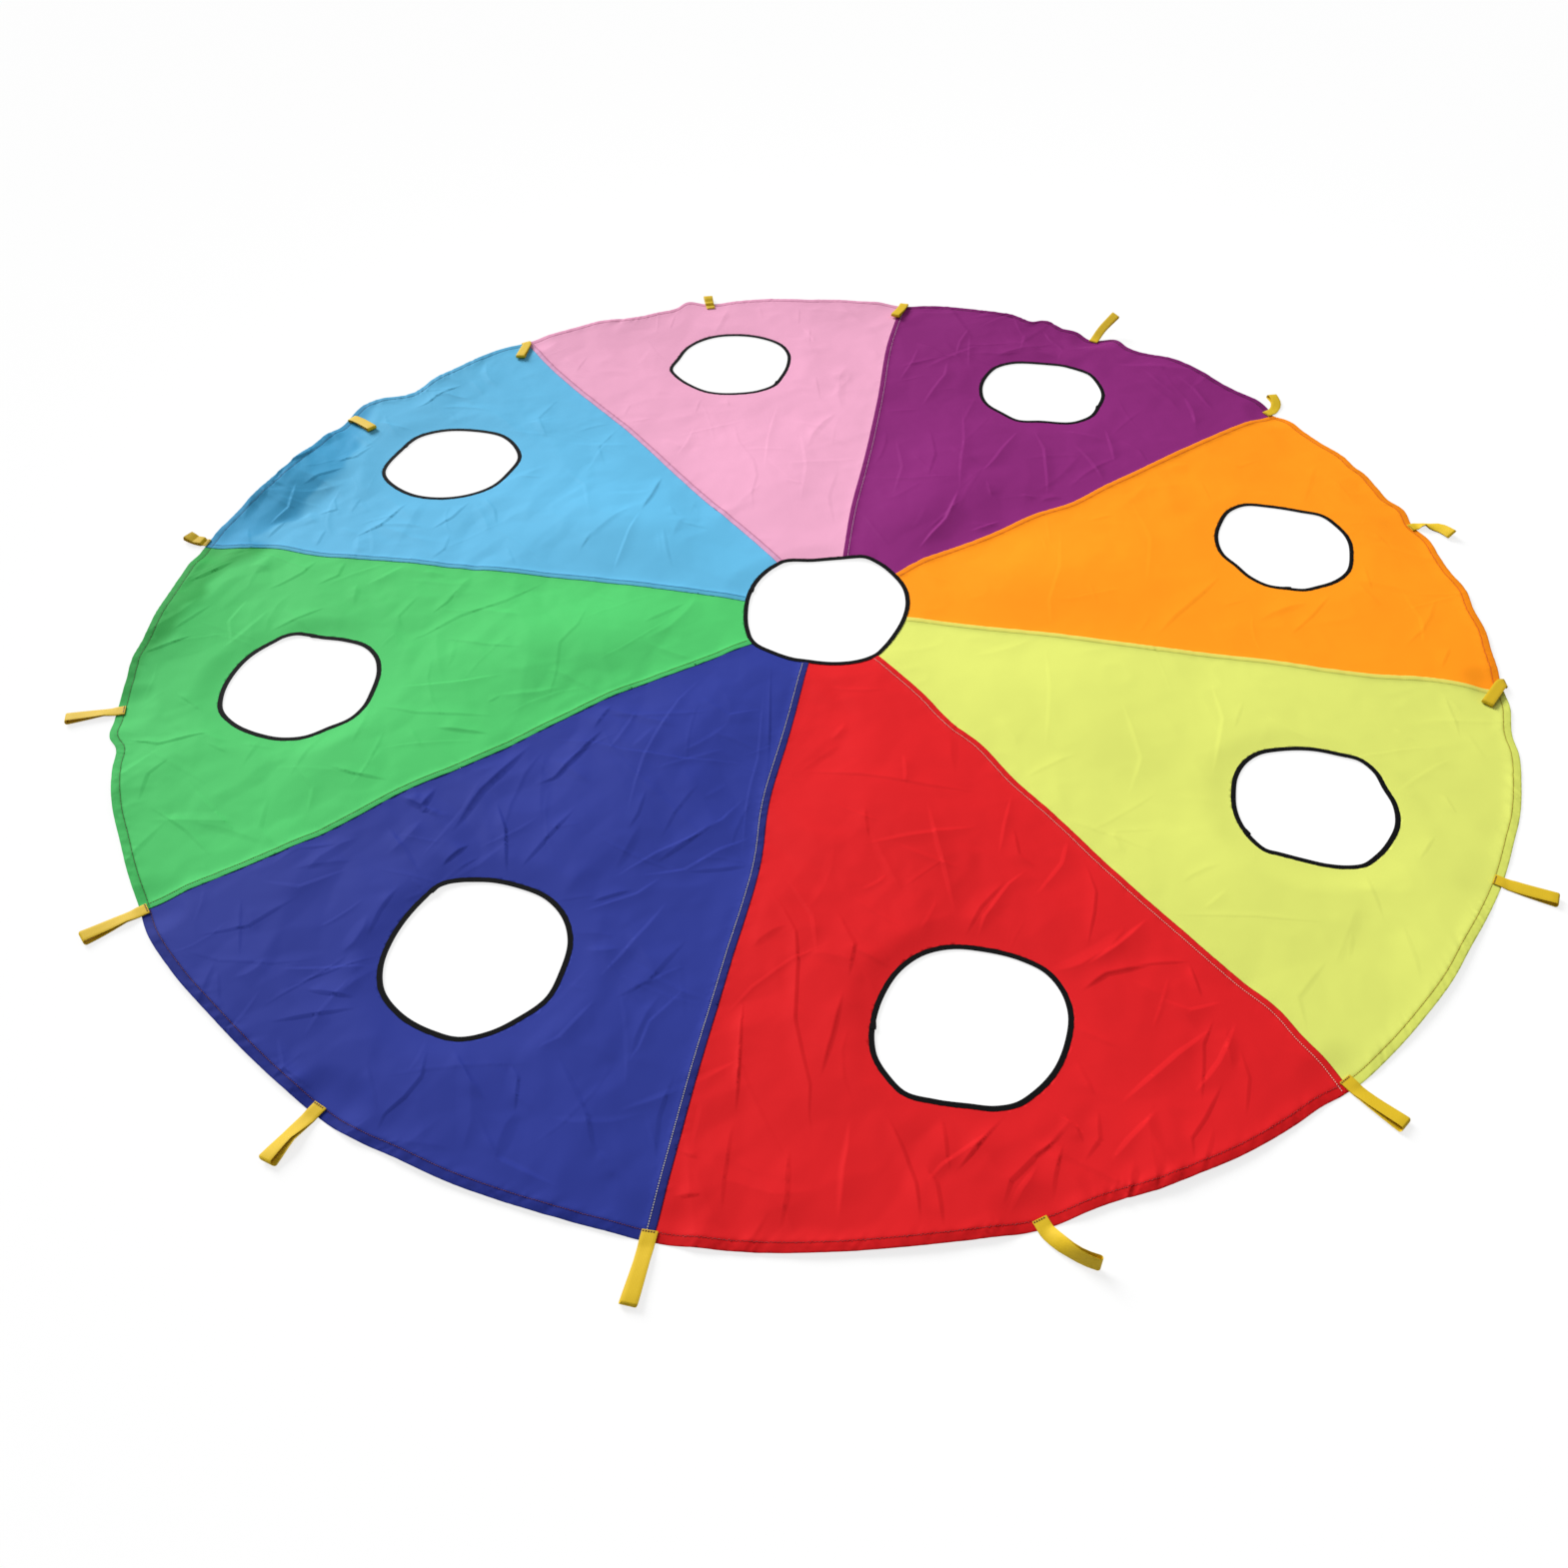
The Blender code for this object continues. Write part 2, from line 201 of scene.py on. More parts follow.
# The cloth's cut edge round each hole, which lies under the tape
HOLE_PIXELS = {
    "blue": (
        (425, 899), (439, 888), (482.5, 881), (519, 887), (548, 899), (565.5, 918),
        (571.5, 941.5), (563.5, 972.5), (548, 1001), (519, 1021.5), (490, 1035.5), (459, 1041.5),
        (431.5, 1034.5), (399, 1016), (381.5, 992), (381, 967), (391, 941.5), (406, 919),
    ),
    "red": (
        (871.5, 1042), (873.5, 1020.5), (882, 996), (900, 970), (923, 954.5), (952, 948),
        (984.5, 950.5), (1022.5, 960), (1046.5, 972), (1064.5, 993), (1071.5, 1013),
        (1068.5, 1045.5), (1057, 1072.5), (1038, 1093.5), (1017, 1107), (996, 1110.5),
        (969, 1108), (934.5, 1103.5), (904, 1095.5), (885.5, 1077), (874.5, 1059),
    ),
    "lime": (
        (1233.5, 794.5), (1236, 777), (1245, 763), (1259.5, 754), (1279, 750.5), (1314, 750.5),
        (1339, 755.5), (1361, 761.5), (1376, 773), (1386, 789.5), (1395.5, 805), (1398.5, 827),
        (1392, 842), (1378.5, 858), (1363.5, 867.5), (1351, 869), (1329, 867.5), (1304, 862),
        (1279, 855.5), (1267, 852.5), (1252, 841), (1240.5, 825.5), (1234.5, 809.5),
    ),
    "orange": (
        (1216.5, 539), (1220, 524.5), (1230.5, 511), (1244.5, 506), (1270.5, 507.5), (1299, 512),
        (1323.5, 517.5), (1339, 528.5), (1349, 540), (1352.5, 557), (1348.5, 574), (1336.5, 583),
        (1317.5, 589), (1306, 591.5), (1287, 590), (1268, 587), (1249.5, 578), (1236.5, 567),
        (1223.5, 556.5),
    ),
    "purple": (
        (981, 390.5), (986, 377.5), (998, 367.5), (1012, 364), (1041, 364.5), (1066.5, 367.5),
        (1089.5, 375.5), (1099.5, 385.5), (1104, 396), (1099.5, 408), (1091, 418.5), (1075, 424),
        (1041, 423), (1018, 422), (1002, 414.5), (987, 405.5),
    ),
    "pink": (
        (671.5, 371.5), (678.5, 360), (689, 348), (708.5, 339), (733, 336), (760.5, 338.5),
        (782.5, 347), (789.5, 356), (789, 366), (782.5, 378), (775, 386.5), (760.5, 392),
        (738.5, 395), (708.5, 393.5), (689, 386), (677, 378),
    ),
    "sky": (
        (384, 475.5), (402, 450.5), (419.5, 437.5), (443.5, 431.5), (476.5, 431.5), (503.5, 437),
        (517, 448.5), (520.5, 458.5), (509.5, 474.5), (493, 488.5), (470.5, 496.5), (443.5, 500),
        (416.5, 497.5), (399, 490.5),
    ),
    "green": (
        (285, 638), (297, 635.5), (309, 636.2), (321, 638.3), (345, 641), (366, 647),
        (378, 659.5), (380, 671), (373.5, 693), (364.5, 709.5), (351, 721.5), (330, 730),
        (306, 739), (285, 741), (258, 736.5), (234, 726), (220.5, 711), (221, 699),
        (232.5, 675.5), (249, 658), (273, 643.5),
    ),
    "centre": (
        (746, 613), (749, 597), (762, 577), (774, 568), (785, 563), (813, 561.5), (840, 559.5),
        (866, 559.5), (884, 568), (895, 577), (905, 589), (908.5, 602), (905, 620), (896.5, 635),
        (885, 649.5), (877, 657), (858, 663.5), (839, 665.5), (810, 663.5), (793, 661),
        (774, 655), (753, 644), (747, 630),
    ),
}

# Where the ends of each tape meet, as a direction from the hole's middle, in degrees
TAPE_JOINTS = {
    "blue": 125, "red": 180, "lime": 205, "orange": 260, "purple": 330, "pink": 320, "sky": 150,
    "green": 95, "centre": 160,
}

# Creases seen in each gore: how dark (below 0) or bright they look, the width of the flank that
# shows, in millimetres, and the pixels that they run through
CREASES = {
    "blue": (
        (-0.8, 24, (533, 747), (484, 794), (452, 838)),
        (-0.9, 18, (606, 732), (582, 757), (557, 781), (535, 789)),
        (-0.8, 10, (614, 708), (595, 733)),
        (0.9, 8, (704, 678), (680, 704), (659, 736), (644, 764), (636, 789), (627, 823)),
        (0.7, 7, (542, 741), (599, 747), (625, 755), (680, 764), (755, 767)),
        (-2.0, 7, (498, 806), (507, 832), (508, 878)),
        (-1.0, 10, (578, 811), (550, 840), (520, 873)),
        (-0.7, 12, (388, 828), (407, 853), (422, 878)),
        (-0.9, 14, (471, 847), (443, 870)),
        (-0.9, 8, (648, 796), (640, 819), (630, 834)),
        (1.0, 9, (749, 798), (723, 823), (693, 841), (659, 855), (629, 872), (612, 883)),
        (-0.8, 12, (727, 819), (689, 846), (655, 867)),
        (0.9, 10, (757, 838), (719, 853), (685, 872), (638, 879)),
        (-0.8, 10, (757, 868), (719, 873), (685, 875)),
        (-1.0, 8, (633, 893), (591, 905)),
        (0.9, 8, (663, 879), (638, 896), (582, 914)),
        (0.8, 9, (668, 904), (646, 930), (621, 958), (599, 981)),
        (0.7, 7, (689, 988), (650, 1024), (640, 1049), (625, 1071)),
        (-0.9, 12, (557, 1056), (574, 1088), (589, 1118), (594, 1148), (609, 1169)),
        (-1.3, 7, (511, 1065), (520, 1080), (516, 1114)),
        (-0.9, 10, (454, 1050), (471, 1080), (488, 1105)),
        (-1.0, 8, (429, 1050), (424, 1080), (407, 1101), (386, 1118), (377, 1136)),
        (-0.8, 8, (368, 1066), (375, 1092), (380, 1114)),
        (-1.2, 8, (278, 1040), (284, 1071), (318, 1097)),
        (-1.1, 11, (306, 993), (356, 1001)),
        (0.8, 9, (279, 972), (376, 968)),
        (-0.8, 10, (270, 1026), (360, 1011)),
        (-0.8, 10, (400, 890), (382, 914), (369, 940)),
        (-0.8, 6, (243, 900), (242, 962)),
        (-0.9, 8, (276, 866), (300, 852), (339, 847)),
        (-1.0, 20, (394, 797), (424, 812), (438, 790)),
        (-0.7, 7, (220, 975), (222, 1004)),
        (-1.6, 5, (772, 662), (769, 774), (761, 824), (759, 900)),
        (0.9, 5, (764, 690), (758, 762), (745, 824), (741, 866)),
        (-0.7, 9, (460, 905), (430, 900), (409, 880)),
        (0.6, 10, (700, 700), (730, 720), (764, 712)),
        (-0.6, 10, (300, 900), (250, 930), (200, 940)),
        (0.6, 12, (350, 870), (300, 890), (262, 884)),
        (-0.6, 12, (690, 940), (650, 985), (612, 1003)),
        (0.7, 10, (598, 1000), (560, 1040), (536, 1052)),
        (-0.6, 10, (676, 1075), (660, 1120), (655, 1180)),
        (0.6, 14, (480, 1120), (500, 1160), (560, 1190)),
        (-0.6, 9, (700, 790), (676, 818), (662, 842)),
    ),
    "red": (
        (-1.6, 7, (744, 1000), (742, 1038), (739, 1088), (736, 1116)),
        (-0.7, 8, (733, 1125), (725, 1183), (722, 1216)),
        (-1.4, 8, (768, 890), (785, 914), (797, 935), (799, 964), (796, 1022), (803, 1055),
         (811, 1088), (810, 1117), (814, 1145)),
        (-0.7, 14, (845, 992), (834, 1038), (821, 1082)),
        (0.9, 12, (928, 805), (937, 848), (946, 881), (955, 916)),
        (0.9, 7, (1012, 797), (1004, 828), (999, 858)),
        (-1.0, 8, (1014, 830), (1020, 857), (1038, 870)),
        (1.0, 8, (1027, 872), (1008, 887), (984, 919), (977, 942)),
        (-0.9, 9, (1006, 884), (982, 910), (965, 940)),
        (0.8, 11, (1070, 832), (1062, 865), (1036, 898)),
        (-1.1, 7, (1086, 864), (1097, 894), (1095, 915), (1088, 950)),
        (0.8, 14, (1149, 919), (1115, 948), (1086, 968)),
        (-0.8, 15, (1153, 967), (1107, 977), (1081, 994)),
        (-1.4, 6, (1190, 966), (1203, 1000)),
        (-0.9, 6, (1136, 967), (1190, 964)),
        (0.9, 13, (1213, 1030), (1177, 1056), (1136, 1092), (1119, 1107)),
        (-1.0, 7, (1215, 1020), (1204, 1047), (1202, 1107)),
        (0.8, 12, (1236, 1024), (1219, 1063), (1193, 1098)),
        (-0.8, 10, (1077, 1060), (1096, 1098)),
        (-1.1, 8, (1061, 1116), (1077, 1129), (1085, 1145)),
        (0.8, 12, (1158, 1111), (1128, 1142), (1110, 1164)),
        (-0.8, 9, (1099, 1112), (1101, 1142), (1085, 1164)),
        (-1.0, 8, (1223, 1086), (1206, 1121), (1192, 1142), (1194, 1164)),
        (-1.6, 8, (887, 1117), (905, 1154), (917, 1187), (921, 1226)),
        (-1.0, 8, (942, 1116), (948, 1158), (951, 1173)),
        (-1.3, 8, (1007, 1116), (987, 1138), (957, 1174)),
        (0.9, 9, (997, 1129), (942, 1167), (927, 1185)),
        (-1.1, 9, (925, 1167), (938, 1187), (944, 1230)),
        (0.9, 12, (1038, 1166), (1020, 1191), (1007, 1218)),
        (-0.9, 12, (1063, 1138), (1037, 1158), (1012, 1183), (1003, 1210)),
        (-0.9, 10, (1064, 1146), (1056, 1179), (1053, 1206)),
        (-1.0, 7, (674, 1153), (699, 1161)),
        (-1.0, 7, (674, 1200), (703, 1198)),
        (-0.9, 11, (838, 914), (856, 948), (849, 983)),
        (0.7, 10, (785, 881), (812, 919), (818, 960)),
        (-0.6, 9, (795, 774), (863, 780), (929, 790), (985, 796)),
        (0.8, 9, (903, 758), (905, 790)),
        (-0.6, 9, (866, 812), (870, 845)),
        (0.6, 14, (850, 1120), (842, 1170), (838, 1225)),
        (-0.6, 12, (790, 1150), (788, 1200), (780, 1235)),
        (0.6, 10, (690, 1080), (700, 1110), (692, 1150)),
        (-0.7, 8, (1240, 1050), (1250, 1080), (1246, 1120)),
        (0.7, 9, (1160, 1000), (1190, 1012), (1222, 1004)),
    ),
    "lime": (
        (0.5, 10, (1045, 645), (1049, 688), (1045, 755)),
        (-0.35, 8, (1104, 834), (1158, 832)),
        (-0.7, 5, (1165, 917), (1258, 919), (1332, 925)),
        (-0.8, 9, (1366, 876), (1380, 910), (1384, 922)),
        (-0.5, 12, (1403, 926), (1417, 964), (1421, 985)),
        (-0.6, 8, (1244, 704), (1235, 731)),
        (0.6, 7, (1258, 714), (1294, 733), (1332, 748)),
        (-0.8, 8, (1444, 695), (1457, 724), (1461, 740)),
        (-0.6, 7, (1394, 728), (1418, 743)),
        (-0.8, 7, (1444, 795), (1458, 816)),
        (-0.7, 7, (1436, 838), (1420, 862)),
        (-0.5, 8, (1394, 791), (1418, 802)),
        (0.5, 9, (1203, 911), (1227, 891)),
        (0.5, 14, (1210, 680), (1222, 720), (1212, 780)),
        (-0.4, 14, (1330, 960), (1300, 1000), (1310, 1040)),
        (0.4, 16, (1120, 700), (1140, 760), (1128, 800)),
    ),
    "orange": (
        (0.6, 11, (1061, 529), (1059, 573), (1049, 603), (1052, 635)),
        (-0.9, 13, (1223, 576), (1203, 596), (1177, 618), (1157, 638)),
        (-0.9, 9, (1334, 594), (1313, 618), (1290, 638)),
        (-0.8, 7, (1365, 567), (1373, 592)),
        (-0.5, 8, (1089, 586), (1100, 609)),
        (-0.5, 7, (1224, 608), (1247, 602)),
        (-0.8, 9, (1451, 650), (1442, 670)),
        (-0.6, 7, (1202, 483), (1212, 502)),
        (-0.6, 9, (1374, 534), (1391, 551)),
        (0.5, 12, (1130, 500), (1150, 540), (1146, 590)),
        (-0.5, 10, (1290, 462), (1330, 480), (1352, 500)),
        (0.5, 12, (1400, 590), (1420, 620), (1424, 650)),
        (-0.5, 9, (1215, 460), (1240, 470), (1262, 462)),
    ),
    "purple": (
        (1.2, 11, (1019, 433), (1002, 452), (980, 478)),
        (1.2, 9, (1033, 431), (1044, 452), (1047, 499)),
        (1.2, 10, (1073, 446), (1089, 462), (1105, 483)),
        (1.2, 9, (1105, 430), (1111, 449), (1115, 464)),
        (0.9, 9, (963, 411), (964, 440), (961, 461), (960, 499)),
        (1.5, 15, (959, 495), (945, 524), (930, 539), (918, 553)),
        (1.2, 11, (948, 362), (945, 377), (933, 392), (922, 408)),
        (1.0, 11, (915, 344), (933, 350), (945, 357), (961, 359)),
        (1.0, 9, (970, 331), (960, 344), (956, 358)),
        (0.8, 7, (970, 337), (969, 370)),
        (0.9, 8, (919, 349), (912, 365), (899, 384)),
        (1.5, 7, (1043, 334), (1064, 355)),
        (1.1, 7, (1142, 373), (1158, 386), (1177, 399)),
        (1.5, 7, (1175, 379), (1194, 393), (1214, 414)),
        (1.2, 10, (1184, 400), (1191, 413), (1196, 431)),
        (0.7, 6, (868, 479), (912, 483), (962, 482)),
        (0.7, 7, (886, 413), (920, 411)),
        (1.0, 11, (1001, 523), (970, 534)),
        (0.8, 9, (1021, 497), (1037, 500)),
        (0.8, 9, (986, 486), (991, 502)),
        (-0.8, 9, (1120, 440), (1140, 452), (1150, 466)),
        (0.8, 9, (896, 440), (902, 470), (893, 500)),
        (-0.7, 10, (930, 430), (936, 460), (928, 486)),
        (0.8, 8, (1010, 318), (1024, 340), (1020, 356)),
    ),
    "pink": (
        (-0.7, 9, (733, 420), (740, 445), (755, 465), (758, 480), (753, 498), (755, 520)),
        (-0.8, 7, (728, 398), (730, 409)),
        (-0.7, 6, (702, 400), (696, 416)),
        (0.6, 8, (695, 428), (687, 445), (676, 459)),
        (0.6, 7, (779, 402), (773, 422), (768, 442), (764, 477)),
        (-0.8, 6, (816, 377), (821, 401)),
        (-0.7, 7, (811, 329), (811, 348)),
        (-0.7, 6, (800, 311), (800, 328)),
        (-0.7, 7, (589, 357), (577, 375)),
        (-0.6, 7, (648, 342), (663, 360)),
        (-0.6, 7, (632, 406), (625, 419)),
        (-0.8, 7, (676, 317), (671, 332)),
        (-0.5, 12, (840, 470), (830, 500), (836, 530)),
        (0.5, 12, (800, 430), (806, 470), (800, 510)),
        (-0.5, 9, (760, 308), (764, 322)),
    ),
    "sky": (
        (-1.0, 14, (664, 478), (654, 500), (642, 520)),
        (1.0, 8, (642, 520), (630, 540), (613, 577)),
        (-0.9, 9, (665, 536), (669, 558), (674, 573)),
        (-0.8, 8, (671, 511), (678, 522)),
        (-0.7, 9, (681, 529), (709, 533)),
        (-1.2, 9, (411, 503), (382, 528), (353, 541)),
        (-1.1, 8, (471, 503), (454, 520), (431, 533)),
        (-1.1, 9, (485, 499), (496, 512), (498, 528)),
        (-0.7, 8, (452, 535), (446, 552), (429, 565)),
        (-0.7, 7, (509, 551), (517, 570)),
        (-1.0, 8, (335, 499), (338, 512), (317, 517)),
        (-0.9, 8, (327, 531), (317, 549)),
        (-1.2, 15, (323, 447), (310, 464), (290, 476), (273, 497)),
        (-1.1, 9, (347, 471), (322, 482), (304, 493)),
        (1.2, 13, (299, 491), (290, 512), (268, 529)),
        (-1.0, 9, (287, 523), (269, 541)),
        (-0.9, 8, (250, 531), (254, 549)),
        (-1.1, 8, (413, 412), (438, 400), (467, 387)),
        (0.8, 9, (377, 424), (415, 432)),
        (-0.6, 9, (595, 539), (581, 557)),
        (-1.0, 9, (333, 468), (358, 460), (375, 447)),
        (-0.7, 9, (560, 400), (540, 420), (548, 440)),
        (0.6, 12, (560, 470), (585, 490), (590, 520)),
        (-0.6, 9, (620, 430), (600, 450), (606, 470)),
        (-0.7, 8, (362, 500), (352, 515)),
        (-0.5, 80, (368, 424), (318, 450), (274, 486), (242, 532)),
    ),
    "green": (
        (-0.9, 9, (321, 562), (304, 577), (281, 588), (267, 593)),
        (-0.9, 9, (348, 562), (340, 579), (317, 589)),
        (-0.8, 11, (550, 583), (508, 606), (462, 620), (426, 638), (403, 646)),
        (-1.0, 7, (461, 591), (449, 606), (432, 618)),
        (-0.7, 8, (590, 610), (580, 633), (562, 651), (558, 679), (548, 708)),
        (0.8, 9, (397, 690), (462, 686), (509, 679)),
        (-0.7, 9, (444, 642), (485, 651), (527, 656)),
        (-0.8, 9, (375, 709), (417, 717), (500, 720)),
        (-0.8, 15, (435, 732), (492, 738)),
        (-0.8, 7, (412, 732), (427, 753)),
        (-1.2, 9, (328, 770), (354, 778), (391, 784)),
        (0.9, 9, (190, 786), (213, 810), (241, 838)),
        (-1.2, 7, (150, 810), (186, 833), (214, 861)),
        (0.8, 9, (299, 773), (313, 792), (308, 816)),
        (-0.8, 7, (208, 746), (228, 756)),
        (-0.8, 11, (240, 746), (273, 751)),
        (-1.3, 8, (122, 742), (159, 747), (181, 742), (214, 735)),
        (-0.8, 9, (173, 760), (150, 778), (140, 806)),
        (-0.9, 9, (196, 641), (144, 661)),
        (-0.7, 9, (214, 610), (176, 639)),
        (-0.9, 8, (330, 610), (295, 624), (271, 634)),
        (-0.6, 11, (690, 605), (643, 630)),
        (-0.7, 7, (489, 707), (502, 701)),
        (-0.8, 8, (176, 696), (205, 716)),
        (-1.2, 12, (217, 559), (269, 549)),
        (-1.2, 13, (190, 589), (237, 564)),
        (0.7, 10, (250, 600), (230, 625), (232, 650)),
        (-0.6, 12, (270, 800), (262, 830), (280, 850)),
        (-0.7, 9, (420, 600), (400, 620), (404, 630)),
    ),
}

# Painted shade along the rim of two gores, for the side of the swell there that faces away from
# the light:
# half gores from the first seam, how far in from the rim in mm, and what the cloth's colour is
# multiplied by
RIM_SHADE_BAYS = (12.8, 13, 13.3, 14, 14.2, 14.5, 15.1)
RIM_SHADE_DEPTHS = (0, 110, 135, 160, 110, 75, 0)
RIM_SHADE_TINTS = {"sky": (0.50, 0.76, 0.84), "green": (0.52, 0.70, 0.56)}

# Rumples all over the cloth, each as its height, the size of its cells, the angle in degrees that
# they are turned by, and a seed. The patches, in which the others come and go, have no height.
WAVES = (3.0 * MM, 0.35, 20, 3)
LARGE_FACETS = (5.0 * MM, 0.12, 35, 11)
MIDDLE_FACETS = (3.0 * MM, 0.055, 71, 17)
SMALL_FACETS = (1.1 * MM, 0.026, 10, 23)
RIDGES = (0.5 * MM, 0.06, 71, 27)
PATCHES = (0.22, 50, 8)
CELLS = 64

# Where the rumples die away: beside seams and holes, and round each handle's sewn end
SEAM_CALM = 25 * MM
HOLE_CALM = 70 * MM
TAB_CALM, TAB_CALM_DEPTH, TAB_CALM_HALF_WIDTH = 60 * MM, 30 * MM, 20 * MM

# Ripples that the thread gathers
SEAM_RIPPLES = 1.3 * MM
HEM_RIPPLES = 3.0 * MM

# How crumpled each gore is all over, and how deep its creases are
CRUMPLE_SHARES = (1.3, 0.85, 0.25, 0.4, 0.9, 0.55, 1, 1.05)
CREASE_SHARES = (1.1, 1, 0.5, 0.65, 1.15, 0.8, 1, 0.9)

# Handles anticlockwise from the first seam: how far each is folded over, how far it turns
# sideways and the share of its length that takes the turn, all close to the part, how far the
# sewn end lies anticlockwise, its slant, how far the strap rolls about its length a fifth of the
# way, halfway and at the end, how far the lower half of the loop lies anticlockwise of the
# upper one at the end, and where the loop doubles back under itself, if it does. Millimetres
# and degrees.
HANDLES = (
    ("green_blue", 0, 4, 0.6, -3, 0, (12, 2, -2), 4, 0),
    ("blue", 0, 5, 0.6, -8, 0, (8, 24, 6), 8, 0),
    ("blue_red", 0, -2, 0.6, -4, 0, (8, 4, -4), -4, 0),
    ("red", 0, 48, 0.9, 2, 13, (25, 66, 76), 0, 0),
    ("red_lime", 0, 8, 0.6, 1, 0, (-8, -8, -4), -5, 0),
    ("lime", 0, 7, 0.6, 2, 0, (8, 8, 4), -3, 0),
    ("lime_orange", 175, -60, 0.2, 4, 0, (0, 0, 0), 0, 0),
    ("orange", 0, -84, 0.8, -2, 8, (-35, 18, 36), 2, 0),
    ("orange_purple", 0, 65, 0.8, -6, 0, (0, 8, 0), 3, 0),
    ("purple", 30, -20, 0.6, -5, 0, (0, 0, 0), 0, 0),
    ("purple_pink", 175, 14, 0.6, 5, 0, (0, 0, 0), 0, 0),
    ("pink", 0, -4, 0.6, 14, 0, (0, 0, 0), 3, 50),
    ("pink_sky", 175, 40, 0.3, 2, 0, (0, 0, 0), 0, 0),
    ("sky", 175, 12, 0.6, -3, 0, (0, 0, 0), 0, 0),
    ("sky_green", 0, -35, 0.6, 6, 0, (0, 0, 0), 0, 46),
    ("green", 0, 4, 0.6, 8, 0, (14, 8, 4), 3, 0),
)
TUCK_BEND = 1.2 * MM

# Heights over the hinge: the middle of the strap's lower half where it is sewn, and the lower
# face of a strap that lies on the floor
STRAP_LOW = TAB_FOOT + WEBBING / 2 - HINGE_HEIGHT
STRAP_FLOOR = 0.3 * MM - HINGE_HEIGHT

# Light, and how much the floor glows for the camera
WORLD_LIGHT = 0.26
SUN_LIGHT, SUN_SPREAD = 4.6, 30
SOFTBOX_PLACE, SOFTBOX_SIZE, SOFTBOX_LIGHT = (0.3, 0.3, 2.2), 1.5, 15
FLOOR_GLOW = 0.78
FLOOR_RADIUS = 30

# Colours, linear
CLOTH_COLOURS = {
    "blue": (0.026, 0.040, 0.262),
    "red": (0.630, 0.014, 0.017),
    "lime": (0.640, 0.690, 0.143),
    "orange": (0.930, 0.283, 0.011),
    "purple": (0.220, 0.020, 0.158),
    "pink": (0.745, 0.348, 0.508),
    "sky": (0.112, 0.430, 0.680),
    "green": (0.074, 0.522, 0.137),
}
SEAM_THREADS = {
    "blue": (0.72, 0.68, 0.48), "red": (0.95, 0.62, 0.52), "lime": (0.72, 0.72, 0.20),
    "orange": (0.62, 0.13, 0.01), "purple": (0.75, 0.42, 0.62), "pink": (0.62, 0.24, 0.38),
    "sky": (0.04, 0.14, 0.36), "green": (0.16, 0.10, 0.02),
}
HEM_THREADS = {
    "blue": (0.12, 0.01, 0.03), "red": (0.30, 0.006, 0.012), "lime": (0.40, 0.22, 0.015),
    "orange": (0.72, 0.11, 0.006), "purple": (0.07, 0.006, 0.05), "pink": (0.55, 0.16, 0.28),
    "sky": (0.06, 0.07, 0.15), "green": (0.05, 0.04, 0.008),
}
ZIGZAG = {"red": 4.5 * MM, "blue": 2 * MM}
STRIP_SHADES = {"blue": 0.78, "purple": 0.85, "sky": 0.92}
HEM_SHADES = {
    "blue": 0.8, "red": 0.82, "lime": 0.97, "orange": 0.86, "purple": 0.86, "pink": 0.93,
    "sky": 0.86, "green": 0.84,
}
YELLOW = (0.70, 0.47, 0.017)
BLACK = (0.004, 0.004, 0.0045)


def ease(t):
    t = np.clip(t, 0, 1)
    return t * t * (3 - 2 * t)


def hill(t):
    """Rises smoothly from 0 at t = 0 to 1 halfway, and back to 0 at t = 1."""
    return np.sin(np.pi * np.clip(t, 0, 1)) ** 2


def camera_axes():
    """The camera's right, up and forward directions."""
    forward = np.array([0, math.cos(PITCH), -math.sin(PITCH)])
    right = np.array([1.0, 0, 0])
    up = np.cross(right, forward)
    c, s = math.cos(ROLL), math.sin(ROLL)
    return c * right + s * up, c * up - s * right, forward


def floor_points(pixels):
    """Where the camera's rays through pixels of the photograph meet the floor."""
    right, up, forward = camera_axes()
    pixels = np.array(pixels, float)
    across = (pixels[:, 0] - IMAGE / 2 - AXIS_PIXELS) / FOCAL_PIXELS
    down = (pixels[:, 1] - IMAGE / 2) / FOCAL_PIXELS
    rays = forward + across[:, None] * right - down[:, None] * up
    place = np.array(CAMERA_PLACE)
    reach = -place[2] / rays[:, 2]
    return (place + reach[:, None] * rays)[:, :2]


def read_curve(x, xs, ys):
    """Values at x of a smooth curve through the points (xs, ys)."""
    slopes = np.gradient(ys, xs)
    i = np.clip(np.searchsorted(xs, x) - 1, 0, len(xs) - 2)
    width = xs[i + 1] - xs[i]
    t = np.clip((x - xs[i]) / width, 0, 1)
    t2, t3 = t * t, t * t * t
    value = (2 * t3 - 3 * t2 + 1) * ys[i] + (3 * t2 - 2 * t3) * ys[i + 1]
    return value + ((t3 - 2 * t2 + t) * slopes[i] + (t3 - t2) * slopes[i + 1]) * width


def along_path(path):
    """How far along a path each of its points lies."""
    return np.concatenate([[0], np.cumsum(np.linalg.norm(np.diff(path, axis=0), axis=1))])


def closed_curve(points, spacing):
    """A smooth closed curve through points, read at an even spacing, anticlockwise."""
    points = np.array(points, float)
    middle = points.mean(0)
    if np.cross(points[0] - middle, points[1] - middle) < 0:
        points = points[::-1]
    ring = np.concatenate([points[-3:], points, points[:3]])
    along = along_path(ring)
    start, end = along[3], along[len(points) + 3]
    count = int(round((end - start) / spacing))
    at = np.linspace(start, end, count, endpoint=False)
    return np.stack([read_curve(at, along, ring[:, k]) for k in (0, 1)], axis=1)


def angle_from_first(points):
    """Angle of points round the canopy, anticlockwise from the first seam, from 0 to a turn."""
    return (np.arctan2(points[:, 1], points[:, 0]) - FIRST_SEAM) % TURN


def reach_and_angle(points):
    return np.hypot(points[:, 0], points[:, 1]), angle_from_first(points)


